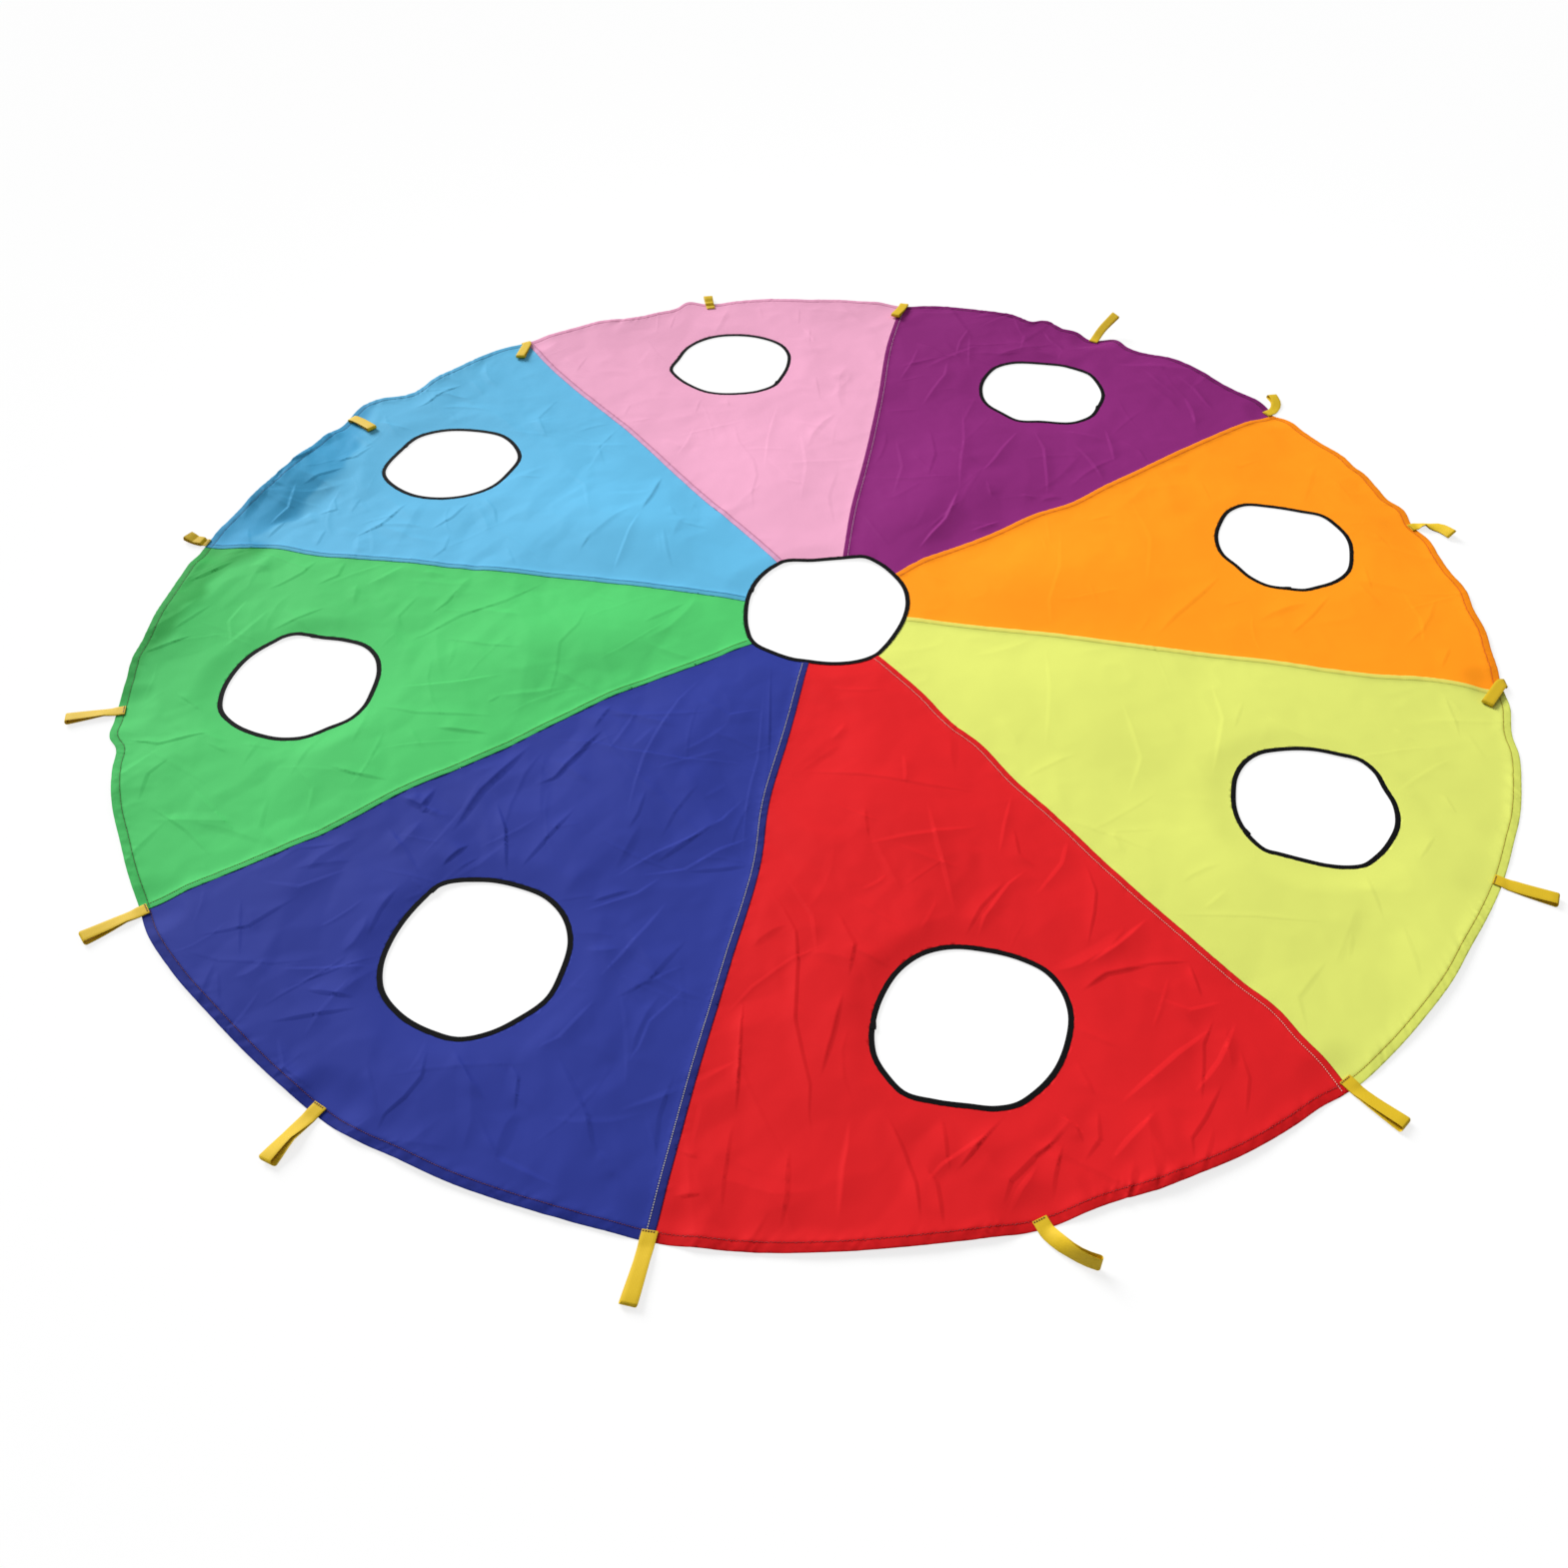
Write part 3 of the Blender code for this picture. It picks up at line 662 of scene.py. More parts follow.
def seam_curves():
    """For each seam, distances from the middle and how far the seam strays anticlockwise there."""
    curves = []
    for i, pixels in enumerate(SEAM_PIXELS):
        points = floor_points(pixels)[::-1]
        angle = FIRST_SEAM + 2 * BAY * i
        out = np.array([math.cos(angle), math.sin(angle)])
        side = np.array([-out[1], out[0]])
        curves.append((points @ out, points @ side))
    return curves


def rim_curve():
    """Angles round the canopy and how far the rim seems to lie beyond its radius there."""
    points = floor_points(RIM_PIXELS)
    angles = angle_from_first(points)
    order = np.argsort(angles)
    angles, past = angles[order], np.linalg.norm(points[order], axis=1) - RADIUS
    angles = np.concatenate([angles[-2:] - TURN, angles, angles[:2] + TURN])
    return angles, np.concatenate([past[-2:], past, past[:2]])


SEAM_CURVES = seam_curves()
RIM_CURVE = rim_curve()


def rim_height(angle):
    """How high the rim stands over lying flat, at an angle from the first seam."""
    bay = np.clip((angle // BAY).astype(int), 0, 2 * GORES - 1)
    within = angle - bay * BAY
    flat = min(FLAT_HALF_WIDTH / RADIUS, 0.3 * BAY)
    return RIM_SWELL * np.array(BAY_SWELL_SHARES)[bay] * hill((within - flat) / (BAY - 2 * flat))


def gore_and_share(angle):
    """Which gore lies at an angle, and which share of that gore lies before it."""
    gore = np.clip((angle // (2 * BAY)).astype(int), 0, GORES - 1)
    return gore, (angle - 2 * BAY * gore) / (2 * BAY)


def swell(reach, angle):
    """The broad swells of the cloth, as in the part."""
    gore, share = gore_and_share(angle)
    inner = INNER_SWELL * np.array(GORE_SWELL_SHARES)[gore] * hill(share)
    inner = inner * hill((reach - INNER_SWELL_START) / (INNER_SWELL_END - INNER_SWELL_START))
    return inner + rim_height(angle) * ease((reach - RIM_SWELL_START) / (RADIUS - RIM_SWELL_START))


def sight_slope(angle):
    """How far a point of the rim seems to move outwards on the floor for each unit it rises."""
    out = np.stack([np.cos(FIRST_SEAM + angle), np.sin(FIRST_SEAM + angle)], axis=-1)
    from_camera = RADIUS * out - np.array(CAMERA_PLACE[:2])
    return (from_camera * out).sum(-1) / CAMERA_PLACE[2]


def drift(reach, angle):
    """How far the cloth lies outwards and anticlockwise of its regular place."""
    gore, share = gore_and_share(angle)
    aside = np.zeros(len(reach))
    for i, (xs, ys) in enumerate(SEAM_CURVES):
        value = read_curve(reach, xs, ys)
        aside += value * np.where(gore == i, 1 - share, 0)
        aside += value * np.where((gore + 1) % GORES == i, share, 0)
    past = read_curve(angle, *RIM_CURVE) - sight_slope(angle) * rim_height(angle)
    outwards = past * ease((reach - 0.8 * RADIUS) / (0.2 * RADIUS))
    return outwards, aside


def polar(reach, angle):
    angle = FIRST_SEAM + angle
    return np.stack([reach * np.cos(angle), reach * np.sin(angle)], axis=-1)


def cells(x, y, seed):
    """Random numbers at the corners of each place's cell, and where in its cell the place is."""
    table = np.random.RandomState(seed).rand(CELLS, CELLS)
    xi, yi = np.floor(x).astype(int), np.floor(y).astype(int)
    x0, x1, y0, y1 = xi % CELLS, (xi + 1) % CELLS, yi % CELLS, (yi + 1) % CELLS
    return table[x0, y0], table[x1, y0], table[x0, y1], table[x1, y1], x - xi, y - yi


def value_noise(x, y, seed):
    """Smooth noise from 0 to 1 with a cell of 1."""
    a, b, c, d, fx, fy = cells(x, y, seed)
    fx, fy = ease(fx), ease(fy)
    low = a * (1 - fx) + b * fx
    high = c * (1 - fx) + d * fx
    return low * (1 - fy) + high * fy


def crests(x, y, seed):
    """Noise from 0 to 1 with sharp crests."""
    return 1 - np.abs(2 * value_noise(x, y, seed) - 1)


def turned(x, y, degrees):
    c, s = math.cos(math.radians(degrees)), math.sin(math.radians(degrees))
    return c * x - s * y, s * x + c * y


def round_waves(x, y, cell, degrees, seed):
    """Smooth noise from 0 to 1, with a cell of a given size turned by an angle."""
    return value_noise(*turned(x / cell, y / cell, degrees), seed)


def ridges(x, y, cell, degrees, seed):
    """Noise of narrow ridges, from 0 to 1."""
    u, v = turned(x / cell, y / cell, degrees)
    u = u + 0.6 * value_noise(v * 0.7, u * 0.7, seed + 1)
    return crests(u, v, seed) ** 2


def facets(x, y, cell, degrees, seed):
    """Noise of flat three-cornered facets, from 0 to 1, whose corners are about a cell apart."""
    u, v = turned(x / cell, y / cell, degrees)
    shift = value_noise(0.7 * u, 0.7 * v, seed + 1), value_noise(0.7 * v, 0.7 * u, seed + 2)
    u, v = u + 0.9 * shift[0], v + 0.9 * shift[1]
    a, b, c, d, fu, fv = cells(u, v, seed)
    near = a + fu * (b - a) + fv * (c - a)
    far = d + (1 - fu) * (c - d) + (1 - fv) * (b - d)
    return np.where(fu + fv < 1, near, far)


def lift(points):
    """Height of the cloth over its lying flat, at regular places of the canopy."""
    place = points[:, 0], points[:, 1]
    reach, angle = reach_and_angle(points)
    height = swell(reach, angle)
    patch = round_waves(*place, *PATCHES)
    crumpled = np.interp(angle, (2 * np.arange(GORES) + 1) * BAY, CRUMPLE_SHARES, period=TURN)
    tall, *how = WAVES
    height += tall * ease((round_waves(*place, *how) - 0.35) / 0.5)
    tall, *how = LARGE_FACETS
    height += tall * crumpled * facets(*place, *how)
    tall, *how = MIDDLE_FACETS
    height += tall * crumpled * (0.4 + 0.6 * patch) * facets(*place, *how)
    tall, *how = RIDGES
    height += tall * ease((0.75 - patch) / 0.5) * ridges(*place, *how)
    tall, *how = SMALL_FACETS
    creased = tall * crumpled * (1.1 - patch) * facets(*place, *how)
    for crease in FOLDS:
        crease.raise_cloth(points, creased)
    return (height + creased * seam_calm(reach, angle)) * calm(reach, angle) * hole_calm(points)


def beside_seam(reach, angle):
    """How far places lie anticlockwise of the nearest seam."""
    return 2 * BAY * ((angle / (2 * BAY) + 0.5) % 1 - 0.5) * reach


def seam_calm(reach, angle):
    """Lower near the seams, whose layers are stiffer."""
    from_strip = np.maximum(np.abs(beside_seam(reach, angle) + LAP / 2) - LAP, 0)
    return 0.2 + 0.8 * ease(from_strip / SEAM_CALM)


def hole_calm(points):
    """Lower near the holes, whose tape keeps the cloth nearer the floor."""
    nearest = np.hypot(points[:, 0], points[:, 1]) - CENTRE_HOLE_RADIUS
    for i in range(GORES):
        middle = polar(HOLE_DISTANCE, (2 * i + 1) * BAY)
        nearest = np.minimum(nearest, np.linalg.norm(points - middle, axis=1) - HOLE_RADIUS)
    return 0.15 + 0.85 * ease(nearest / HOLE_CALM)


class Crease:
    """A fold with one steep flank, which looks dark or bright, and one gentle flank."""

    def __init__(self, tone, width, path, gentle=GENTLE):
        self.width, self.height, self.gentle = width, abs(tone) * STEEPNESS * width, gentle
        steps = np.diff(path, axis=0)
        lengths = np.linalg.norm(steps, axis=1)
        normals = np.stack([-steps[:, 1], steps[:, 0]], axis=1) / lengths[:, None]
        along = along_path(path)
        self.length = along[-1]
        self.pieces = list(zip(path[:-1], steps, lengths, normals, along))
        chord = path[-1] - path[0]
        self.side = math.copysign(1, (LIGHT_SIDE[1] * chord[0] - LIGHT_SIDE[0] * chord[1]) * -tone)
        spread = (gentle + 1) * width
        self.low, self.high = path.min(0) - spread, path.max(0) + spread

    def raise_cloth(self, points, height):
        """Adds this crease's height at the points near it."""
        near = ((points > self.low) & (points < self.high)).all(1)
        p = points[near]
        if not len(p):
            return
        best = np.full(len(p), np.inf)
        across, along = np.zeros(len(p)), np.zeros(len(p))
        for start, step, length, normal, before in self.pieces:
            t = np.clip((p - start) @ step / length**2, 0, 1)
            away = p - start - t[:, None] * step
            distance = np.linalg.norm(away, axis=1)
            nearer = distance < best
            best = np.where(nearer, distance, best)
            across = np.where(nearer, np.copysign(distance, away @ normal), across)
            along = np.where(nearer, before + t * length, along)
        open_ = self.opening(along)
        u = self.side * across / (self.width * (0.3 + 0.7 * open_))
        steep = np.clip(u + 0.5, 0, 1) ** 1.2
        gentle = np.clip(1 - (u - 0.5) / self.gentle, 0, 1) ** 1.8
        height[near] += self.height * open_ * np.where(u < 0.5, steep, gentle)

    def opening(self, along):
        """0 at the crease's pointed ends and 1 in its middle part."""
        return ease(np.minimum(along, self.length - along) / (0.35 * self.length))

    def rows(self):
        """Mesh rows along and beside the crest and the steep flank's foot."""
        rows = [(0.5, 0), (0.5, CREST_ROW), (-0.5, 0), (-0.5, -CREST_ROW)]
        if self.width > 3 * CREST_ROW:
            rows.append((0.5, -CREST_ROW))
        for start, step, length, normal, before in self.pieces:
            t = np.linspace(0, 1, max(int(length / CREASE_SPACING), 1), endpoint=False)
            wide = self.width * (0.3 + 0.7 * self.opening(before + t * length))
            for share, beside in rows:
                offset = self.side * (share * wide + beside)
                yield start + t[:, None] * step + offset[:, None] * normal


def random_creases(gore):
    """Long low creases strewn over a gore, more of them the more it is crumpled."""
    rng = np.random.RandomState(100 + gore)
    first = 2 * BAY * gore
    for _ in range(int(65 * CRUMPLE_SHARES[gore])):
        reach = RADIUS * math.sqrt(rng.uniform(0.03, 0.97))
        place = polar(reach, first + rng.uniform(0, 2 * BAY))
        heading = FIRST_SEAM + first + BAY + rng.normal(0, 0.8)
        heading += math.pi / 2 if rng.rand() < 0.3 else 0
        length = rng.uniform(0.06, 0.26)
        bend = rng.normal(0, 0.12)
        path = [place]
        for _ in range(3):
            path.append(path[-1] + length / 3 * np.array([math.cos(heading), math.sin(heading)]))
            heading += bend
        width = 3 + 20 * rng.uniform(0, 1) ** 2
        tone = rng.choice([-1, 1]) * rng.uniform(0.1, 0.25) * (1 + 4 / width)
        tone *= CREASE_SHARES[gore]
        yield Crease(tone, width * MM, np.array(path), rng.uniform(1.5, 4))


def calm(reach, angle):
    """1 on the free cloth and 0 under each handle's sewn end."""
    along = (angle / BAY + 0.5) % 1 - 0.5
    aside = np.abs(along) * BAY * reach
    inwards = np.maximum(RADIUS - TAB_CALM_DEPTH - reach, 0)
    distance = np.hypot(np.maximum(aside - TAB_CALM_HALF_WIDTH, 0), inwards)
    return ease(distance / TAB_CALM)


def place_cloth(reach, angle, height):
    """World places of regular places at a height over the floor."""
    outwards, aside = drift(reach, angle % TURN)
    r = reach + outwards
    c, s = np.cos(FIRST_SEAM + angle), np.sin(FIRST_SEAM + angle)
    return np.stack([r * c - aside * s, r * s + aside * c, height], axis=1)


def regular(points):
    """The regular places whose cloth lies at given places on the floor."""
    found = points.copy()
    for _ in range(4):
        reach, angle = reach_and_angle(found)
        there = place_cloth(reach, angle, np.zeros(len(reach)))[:, :2]
        found = found + points - there
    return found


def make_folds():
    folds = []
    for gore, name in enumerate(NAMES):
        for tone, width, *pixels in CREASES[name]:
            path = regular(floor_points(pixels))
            folds.append(Crease(tone * CREASE_SHARES[gore], STEEP_SHARE * width * MM, path))
        folds += list(random_creases(gore))
    return folds


HOLES = {
    name: regular(closed_curve(floor_points(pixels), EDGE_SPACING))
    for name, pixels in HOLE_PIXELS.items()
}
FOLDS = make_folds()


def inside(points, ring):
    """Whether points lie inside a closed ring."""
    x, y = points[:, 0][:, None], points[:, 1][:, None]
    ax, ay = ring[:, 0], ring[:, 1]
    bx, by = np.roll(ax, -1), np.roll(ay, -1)
    crosses = (ay > y) != (by > y)
    with np.errstate(divide="ignore", invalid="ignore"):
        at = (bx - ax) * (y - ay) / (by - ay) + ax
    return (crosses & (x < at)).sum(1) % 2 == 1


def centre_reach(angle):
    """Distance of the centre hole's edge from the middle at angles from the first seam."""
    ring = HOLES["centre"]
    reaches, angles = reach_and_angle(ring)
    order = np.argsort(angles)
    return np.interp(angle % TURN, angles[order], reaches[order], period=TURN)


def gore_rows():
    """Distances beyond the rim of the mesh rows that fold round and back under the hem."""
    bend = math.pi * HEM_BEND
    return [bend * k / 4 for k in range(5)] + [bend + HEM / 2, bend + HEM]


def outline_rows(gore):
    """The gore's cut outline in the plane, and rows of points inside it near its edges."""
    first, last = 2 * BAY * gore, 2 * BAY * (gore + 1)
    hem_line = RADIUS - HEM
    end = RADIUS + gore_rows()[-1]

    def seam_row(angle, aside, start, stop):
        reach = np.linspace(start, stop, max(int((stop - start) / EDGE_SPACING), 1) + 1)
        return polar(reach, angle + aside / reach)

    tuck = math.pi * LAP_BEND + LAP_TUCK
    near_first, near_last = centre_reach(first), centre_reach(last)
    under = seam_row(first, -LAP, near_first, RADIUS)
    over = seam_row(last, tuck, near_last, hem_line - 2 * MM)
    count = int((last - first) * RADIUS / EDGE_SPACING)
    inner = np.linspace(last + tuck / near_last, first - LAP / near_first, INNER_POINTS)[1:-1]
    inner_row = polar(centre_reach(inner), inner)
    outer = np.linspace(first + 1 * MM / RADIUS, last, count)
    outline = np.concatenate([under, polar(np.full(count, end), outer), over[::-1], inner_row])
    near_line = (-LAP_RAMP, -2 * MM, 0, 2 * MM, 4 * MM)
    pasts = [beside - HEM for beside in near_line] + [-HEM / 2, -3 * MM] + gore_rows()[:-1]
    between = (outer[:-1] + outer[1:]) / 2
    rows = [polar(np.full(count - 1, RADIUS + past), between) for past in pasts]
    bend = math.pi * LAP_BEND
    asides = [beside - LAP for beside in near_line] + [-LAP / 2, -1.5 * MM]
    asides += [0, bend / 3, 2 * bend / 3, bend]
    for aside in asides:
        stop = RADIUS - 1 * MM if aside <= 0 else hem_line - 4 * MM
        rows.append(seam_row(last, aside, near_last + 3 * MM, stop))
    for aside in (0, LAP_RAMP):
        rows.append(seam_row(first, aside, near_first + 3 * MM, RADIUS - 1 * MM))
    return outline, np.concatenate(rows)


def hex_grid(low, high, spacing, seed):
    """Points on a slightly shaken triangular grid."""
    rise = spacing * math.sqrt(3) / 2
    rows = int((high[1] - low[1]) / rise) + 1
    columns = int((high[0] - low[0]) / spacing) + 1
    shake = np.random.RandomState(seed).uniform(-0.12, 0.12, (rows, columns, 2)) * spacing
    i, j = np.meshgrid(np.arange(rows), np.arange(columns), indexing="ij")
    x = low[0] + (j + 0.5 * (i % 2)) * spacing + shake[:, :, 0]
    y = low[1] + i * rise + shake[:, :, 1]
    return np.stack([x.ravel(), y.ravel()], axis=1)


def far_from(points, others, gap):
    """The points that lie at least a gap away from all others."""
    tree = KDTree(len(others))
    for i, (x, y) in enumerate(others):
        tree.insert((x, y, 0), i)
    tree.balance()
    keep = [tree.find((x, y, 0))[2] >= gap for x, y in points]
    return points[np.array(keep)]


def far_from_itself(points, gap):
    """The points with no earlier point in the same small cell."""
    cells = np.unique(np.floor(points / gap).astype(int), axis=0, return_index=True)[1]
    return points[np.sort(cells)]


def gore_sheet(gore):
    """Points in the plane of the cut and triangles of one gore."""
    outline, rows = outline_rows(gore)
    edge_rows = far_from_itself(rows, 0.6 * MM)
    rows = np.concatenate([row for fold in FOLDS for row in fold.rows()])
    rows = rows[((rows > outline.min(0)) & (rows < outline.max(0))).all(1)]
    rows = rows[np.hypot(rows[:, 0], rows[:, 1]) < RADIUS - 2 * MM]
    rows = np.concatenate([edge_rows, rows])
    hole = HOLES[NAMES[gore]]
    rows = rows[inside(rows, outline) & ~inside(rows, hole)]
    rows = far_from(rows, np.concatenate([outline, hole]), 0.25 * MM)
    edges = np.concatenate([outline, hole, rows])
    grid = hex_grid(outline.min(0), outline.max(0), SPACING, gore)
    grid = grid[inside(grid, outline) & ~inside(grid, hole)]
    grid = far_from(grid, edges, 0.62 * SPACING)
    points = np.concatenate([edges, grid])
    n, m = len(outline), len(hole)
    walls = [(i, (i + 1) % n) for i in range(n)] + [(n + i, n + (i + 1) % m) for i in range(m)]
    made = delaunay_2d_cdt([Vector(p) for p in points], walls, [], 0, 1e-7)
    points = np.array([tuple(p) for p in made[0]])
    faces = np.array(made[2])
    middles = points[faces].mean(1)
    faces = faces[inside(middles, outline) & ~inside(middles, hole)]
    return points, faces


def lapped_rise(reach, aside):
    """How high a gore's last edge climbs onto its neighbour, less over the hem."""
    rise = LAP_RISE * ease((aside + LAP + LAP_RAMP) / LAP_RAMP)
    return rise * (1 - 0.55 * ease((reach - RADIUS + HEM + 6 * MM) / (6 * MM)))


def folded_under(past, bend):
    """How far beyond a fold's line a place comes to lie, and how far it drops, where the cloth is
    bent back under itself."""
    turn = np.clip(past / bend, 0, math.pi)
    back = np.maximum(past - math.pi * bend, 0)
    beyond = np.where(past > 0, bend * np.sin(turn) - back, past)
    return beyond, np.where(past > 0, bend * (1 - np.cos(turn)), 0)


def gore_places(gore, points):
    """World places of the cut's points, with the hem folded under and the last edge lapped over,
    and how strongly each point belongs to the doubled strips, the sewn lines and the painted shade
    along the rim."""
    reach, angle = reach_and_angle(points)
    first, last = 2 * BAY * gore, 2 * BAY * (gore + 1)
    angle = np.where(angle - first > math.pi + BAY, angle - TURN, angle)
    angle = np.where(angle - first < -math.pi, angle + TURN, angle)
    aside = (angle - last) * reach
    past = reach - RADIUS
    flat_past, hem_drop = folded_under(past, HEM_BEND)
    flat_aside, lap_drop = folded_under(aside, LAP_BEND)
    flat_reach = RADIUS + flat_past
    flat_angle = last + flat_aside / reach

    rise = lapped_rise(flat_reach, flat_aside) - hem_drop - lap_drop
    sink = LAP_SINK * ease((first - angle) * reach / (4 * MM))
    sink = sink * ease((RADIUS - 20 * MM - reach) / (40 * MM))
    sink = sink * ease((reach - centre_reach(angle) - 15 * MM) / (20 * MM))
    there = polar(flat_reach, flat_angle)
    hem_line = np.exp(-(((flat_reach - RADIUS + HEM - HEM_LINE) / LINE_WIDTH) ** 2))
    seam_line = np.exp(-(((flat_aside + LAP - SEAM_LINE) / LINE_WIDTH) ** 2))
    sewn = np.where((past > 0) | (aside > 0), 0, np.maximum(hem_line, seam_line))
    height = CLOTH_MIDDLE + rise - sink + lift(there)
    height += pucker(flat_reach, flat_angle) - NEEDLE_DEPTH * sewn
    places = place_cloth(flat_reach, flat_angle, height)
    strip = ease((flat_aside + LAP + 1.5 * MM) / (2 * MM))
    hem = ease((flat_reach - RADIUS + HEM) / (2 * MM))
    shares = {"strip": strip, "hem": hem, "sewn": sewn, "worn": worn(flat_reach, flat_angle)}
    return places, shares


def worn(reach, angle):
    """How strongly the painted shade along the rim darkens the cloth, with an uneven edge."""
    depth = np.interp(angle / BAY, RIM_SHADE_BAYS, RIM_SHADE_DEPTHS) * MM
    uneven = 0.75 + 0.5 * value_noise(angle * RADIUS / (50 * MM), reach / (50 * MM), 43)
    return ease((reach - RADIUS + depth * uneven) / (40 * MM))


def pucker(reach, angle):
    """Small ripples that the thread gathers along seams and hem."""
    aside = beside_seam(reach, angle)
    number = np.round(angle / (2 * BAY))
    down_seam, over_seam = reach / (17 * MM) + aside / (30 * MM), 7 * number + aside / (40 * MM)
    along_seam = crests(down_seam, over_seam, 31)
    seam_part = along_seam * np.exp(-(((aside + 0.6 * LAP) / (15 * MM)) ** 2))
    round_rim = angle * RADIUS / (15 * MM) + (reach - RADIUS) / (20 * MM)
    along_rim = crests(round_rim, (reach - RADIUS) / (45 * MM), 37)
    patchy = 0.3 + 0.7 * value_noise(angle * RADIUS / (130 * MM), reach * 0, 41)
    rim_part = along_rim * patchy * np.exp(-(((reach - RADIUS + 0.7 * HEM) / (17 * MM)) ** 2))
    return (SEAM_RIPPLES * seam_part + HEM_RIPPLES * rim_part) * calm(reach, angle)


def add_to_scene(thing):
    bpy.context.scene.collection.objects.link(thing)


def new_mesh(name, places, faces):
    mesh = bpy.data.meshes.new(name)
    mesh.from_pydata([tuple(place) for place in places], [], faces)
    mesh.shade_smooth()
    thing = bpy.data.objects.new(name, mesh)
    add_to_scene(thing)
    return thing


def make_gore(gore):
    """The cloth of one gore, a thin shell round its middle surface."""
    name = NAMES[gore]
    points, faces = gore_sheet(gore)
    places, shares = gore_places(gore, points)
    cloth = new_mesh(f"cloth_{name}", places, faces.tolist())
    for key, values in shares.items():
        if key != "worn" or name in RIM_SHADE_TINTS:
            attribute = cloth.data.attributes.new(key, "FLOAT", "POINT")
            attribute.data.foreach_set("value", values.astype(np.float32))
    shell = cloth.modifiers.new("Cloth", "SOLIDIFY")
    shell.thickness = CLOTH
    shell.offset = 0
    cloth.data.materials.append(cloth_material(gore))
    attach(cloth, "root")
    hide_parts(f"panel_{name}")
    return cloth


def surface(points):
    """Heights of the cloth's middle at regular places, without the lap."""
    reach, angle = reach_and_angle(points)
    return CLOTH_MIDDLE + lift(points) + pucker(reach, angle)


def sweep(name, sections):
    """A mesh through rings of equal length, with its ends closed."""
    sections = np.array(sections)
    count, around = sections.shape[:2]
    faces = []
    for a in range(0, (count - 1) * around, around):
        b = a + around
        for j in range(around):
            k = (j + 1) % around
            faces.append((a + j, a + k, b + k, b + j))
    faces.append(tuple(range(around))[::-1])
    faces.append(tuple((count - 1) * around + j for j in range(around)))
    return new_mesh(name, sections.reshape(-1, 3), faces)


def make_binding(name):
    """Tape folded round the edge of a hole, whose ends overlap at the joint."""
    ring = HOLES[name]
    middle = ring.mean(0)
    angles = np.arctan2(ring[:, 1] - middle[1], ring[:, 0] - middle[0])
    joint = math.radians(TAPE_JOINTS[name])
    start = int(np.argmin(np.abs((angles - joint + math.pi) % TURN - math.pi)))
    order = [(start + i) % len(ring) for i in range(len(ring) + 3)]
    path = ring[order]
    tangent = np.roll(ring, -1, axis=0) - np.roll(ring, 1, axis=0)
    tangent /= np.linalg.norm(tangent, axis=1)[:, None]
    out = np.stack([tangent[:, 1], -tangent[:, 0]], axis=1)[order]
    slot = TAPE_SLOT + (LAP_RISE if name == "centre" else 0)
    bottom = -TAPE_SLOT / 2
    top = bottom + slot
    fold, edge = -TAPE_OVERHANG, TAPE_WIDTH - TAPE_OVERHANG
    profile = (
        (edge, bottom - TAPE), (fold + 0.4 * MM, bottom - TAPE), (fold, (bottom + top) / 2),
        (fold + 0.4 * MM, top + TAPE), (edge, top + TAPE), (edge, top),
        (fold + TAPE, top), (fold + TAPE, bottom), (edge, bottom),
    )
    wobble = np.random.RandomState(sum(map(ord, name))).uniform(-0.4, 0.4, len(order)) * MM
    sections = []
    ends = len(order) - 1
    for i, (place, side) in enumerate(zip(path, out)):
        over = 0.9 * MM * ease((i - (ends - 4)) / 2)
        place = place - side * 2.2 * MM * ease((i - (ends - 3)) / 2)
        row = []
        for aside, height in profile:
            at = place + side * (aside + wobble[i] * (aside > 0))
            row.append((at[0], at[1], height + over))
        sections.append(row)
    sections = np.array(sections)
    flat = sections[:, :, :2].reshape(-1, 2)
    base = np.repeat(surface(path), len(profile))
    reach, angle = reach_and_angle(flat)
    world = place_cloth(reach, angle, base + sections[:, :, 2].ravel())
    tape = sweep(f"tape_{name}", world.reshape(sections.shape))
    tape.data.set_sharp_from_angle(angle=math.radians(50))
    tape.data.materials.append(MATERIALS["tape"])
    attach(tape, "root")
    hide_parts(f"binding_{name}")
    return tape


def handle_matrix(index):
    """Place on the hinge line, with X outwards, Y along the rim and Z up."""
    turn = Matrix.Rotation(FIRST_SEAM + BAY * index, 4, "Z")
    return turn @ Matrix.Translation((RADIUS, 0, HINGE_HEIGHT))


def strap_line():
    """The strap's middle line as distance along the handle, height over the hinge and how much
    it belongs to the lower half (-1 for the upper), from one sewn end out and back again."""
    nose = 4.2 * MM
    reach = LOOP_REACH - nose - WEBBING / 2
    sunk = STRAP_FLOOR + WEBBING / 2 - STRAP_LOW

    def lower(x):
        return STRAP_LOW + sunk * float(ease(x / (14 * MM)))

    def upper(x):
        gap = WEBBING + (2 * nose - WEBBING) * (x / reach) ** 1.4
        return lower(x) + gap

    outwards = [-TAB_LENGTH, -TAB_LENGTH / 2, -1 * MM]
    outwards += [reach * share for share in (0.03, 0.08, 0.14, 0.25, 0.4, 0.55, 0.7, 0.85, 1)]
    line = [(x, lower(x) if x > 0 else STRAP_LOW, 1) for x in outwards]
    centre = lower(reach) + nose
    for step in range(1, 8):
        turn = math.pi * step / 8 - math.pi / 2
        c, s = math.cos(turn), math.sin(turn)
        line.append((reach + nose * c, centre + nose * s, -s))
    high = STRAP_LOW + WEBBING
    return line + [(x, upper(x) if x > 0 else high, -1) for x in reversed(outwards)]


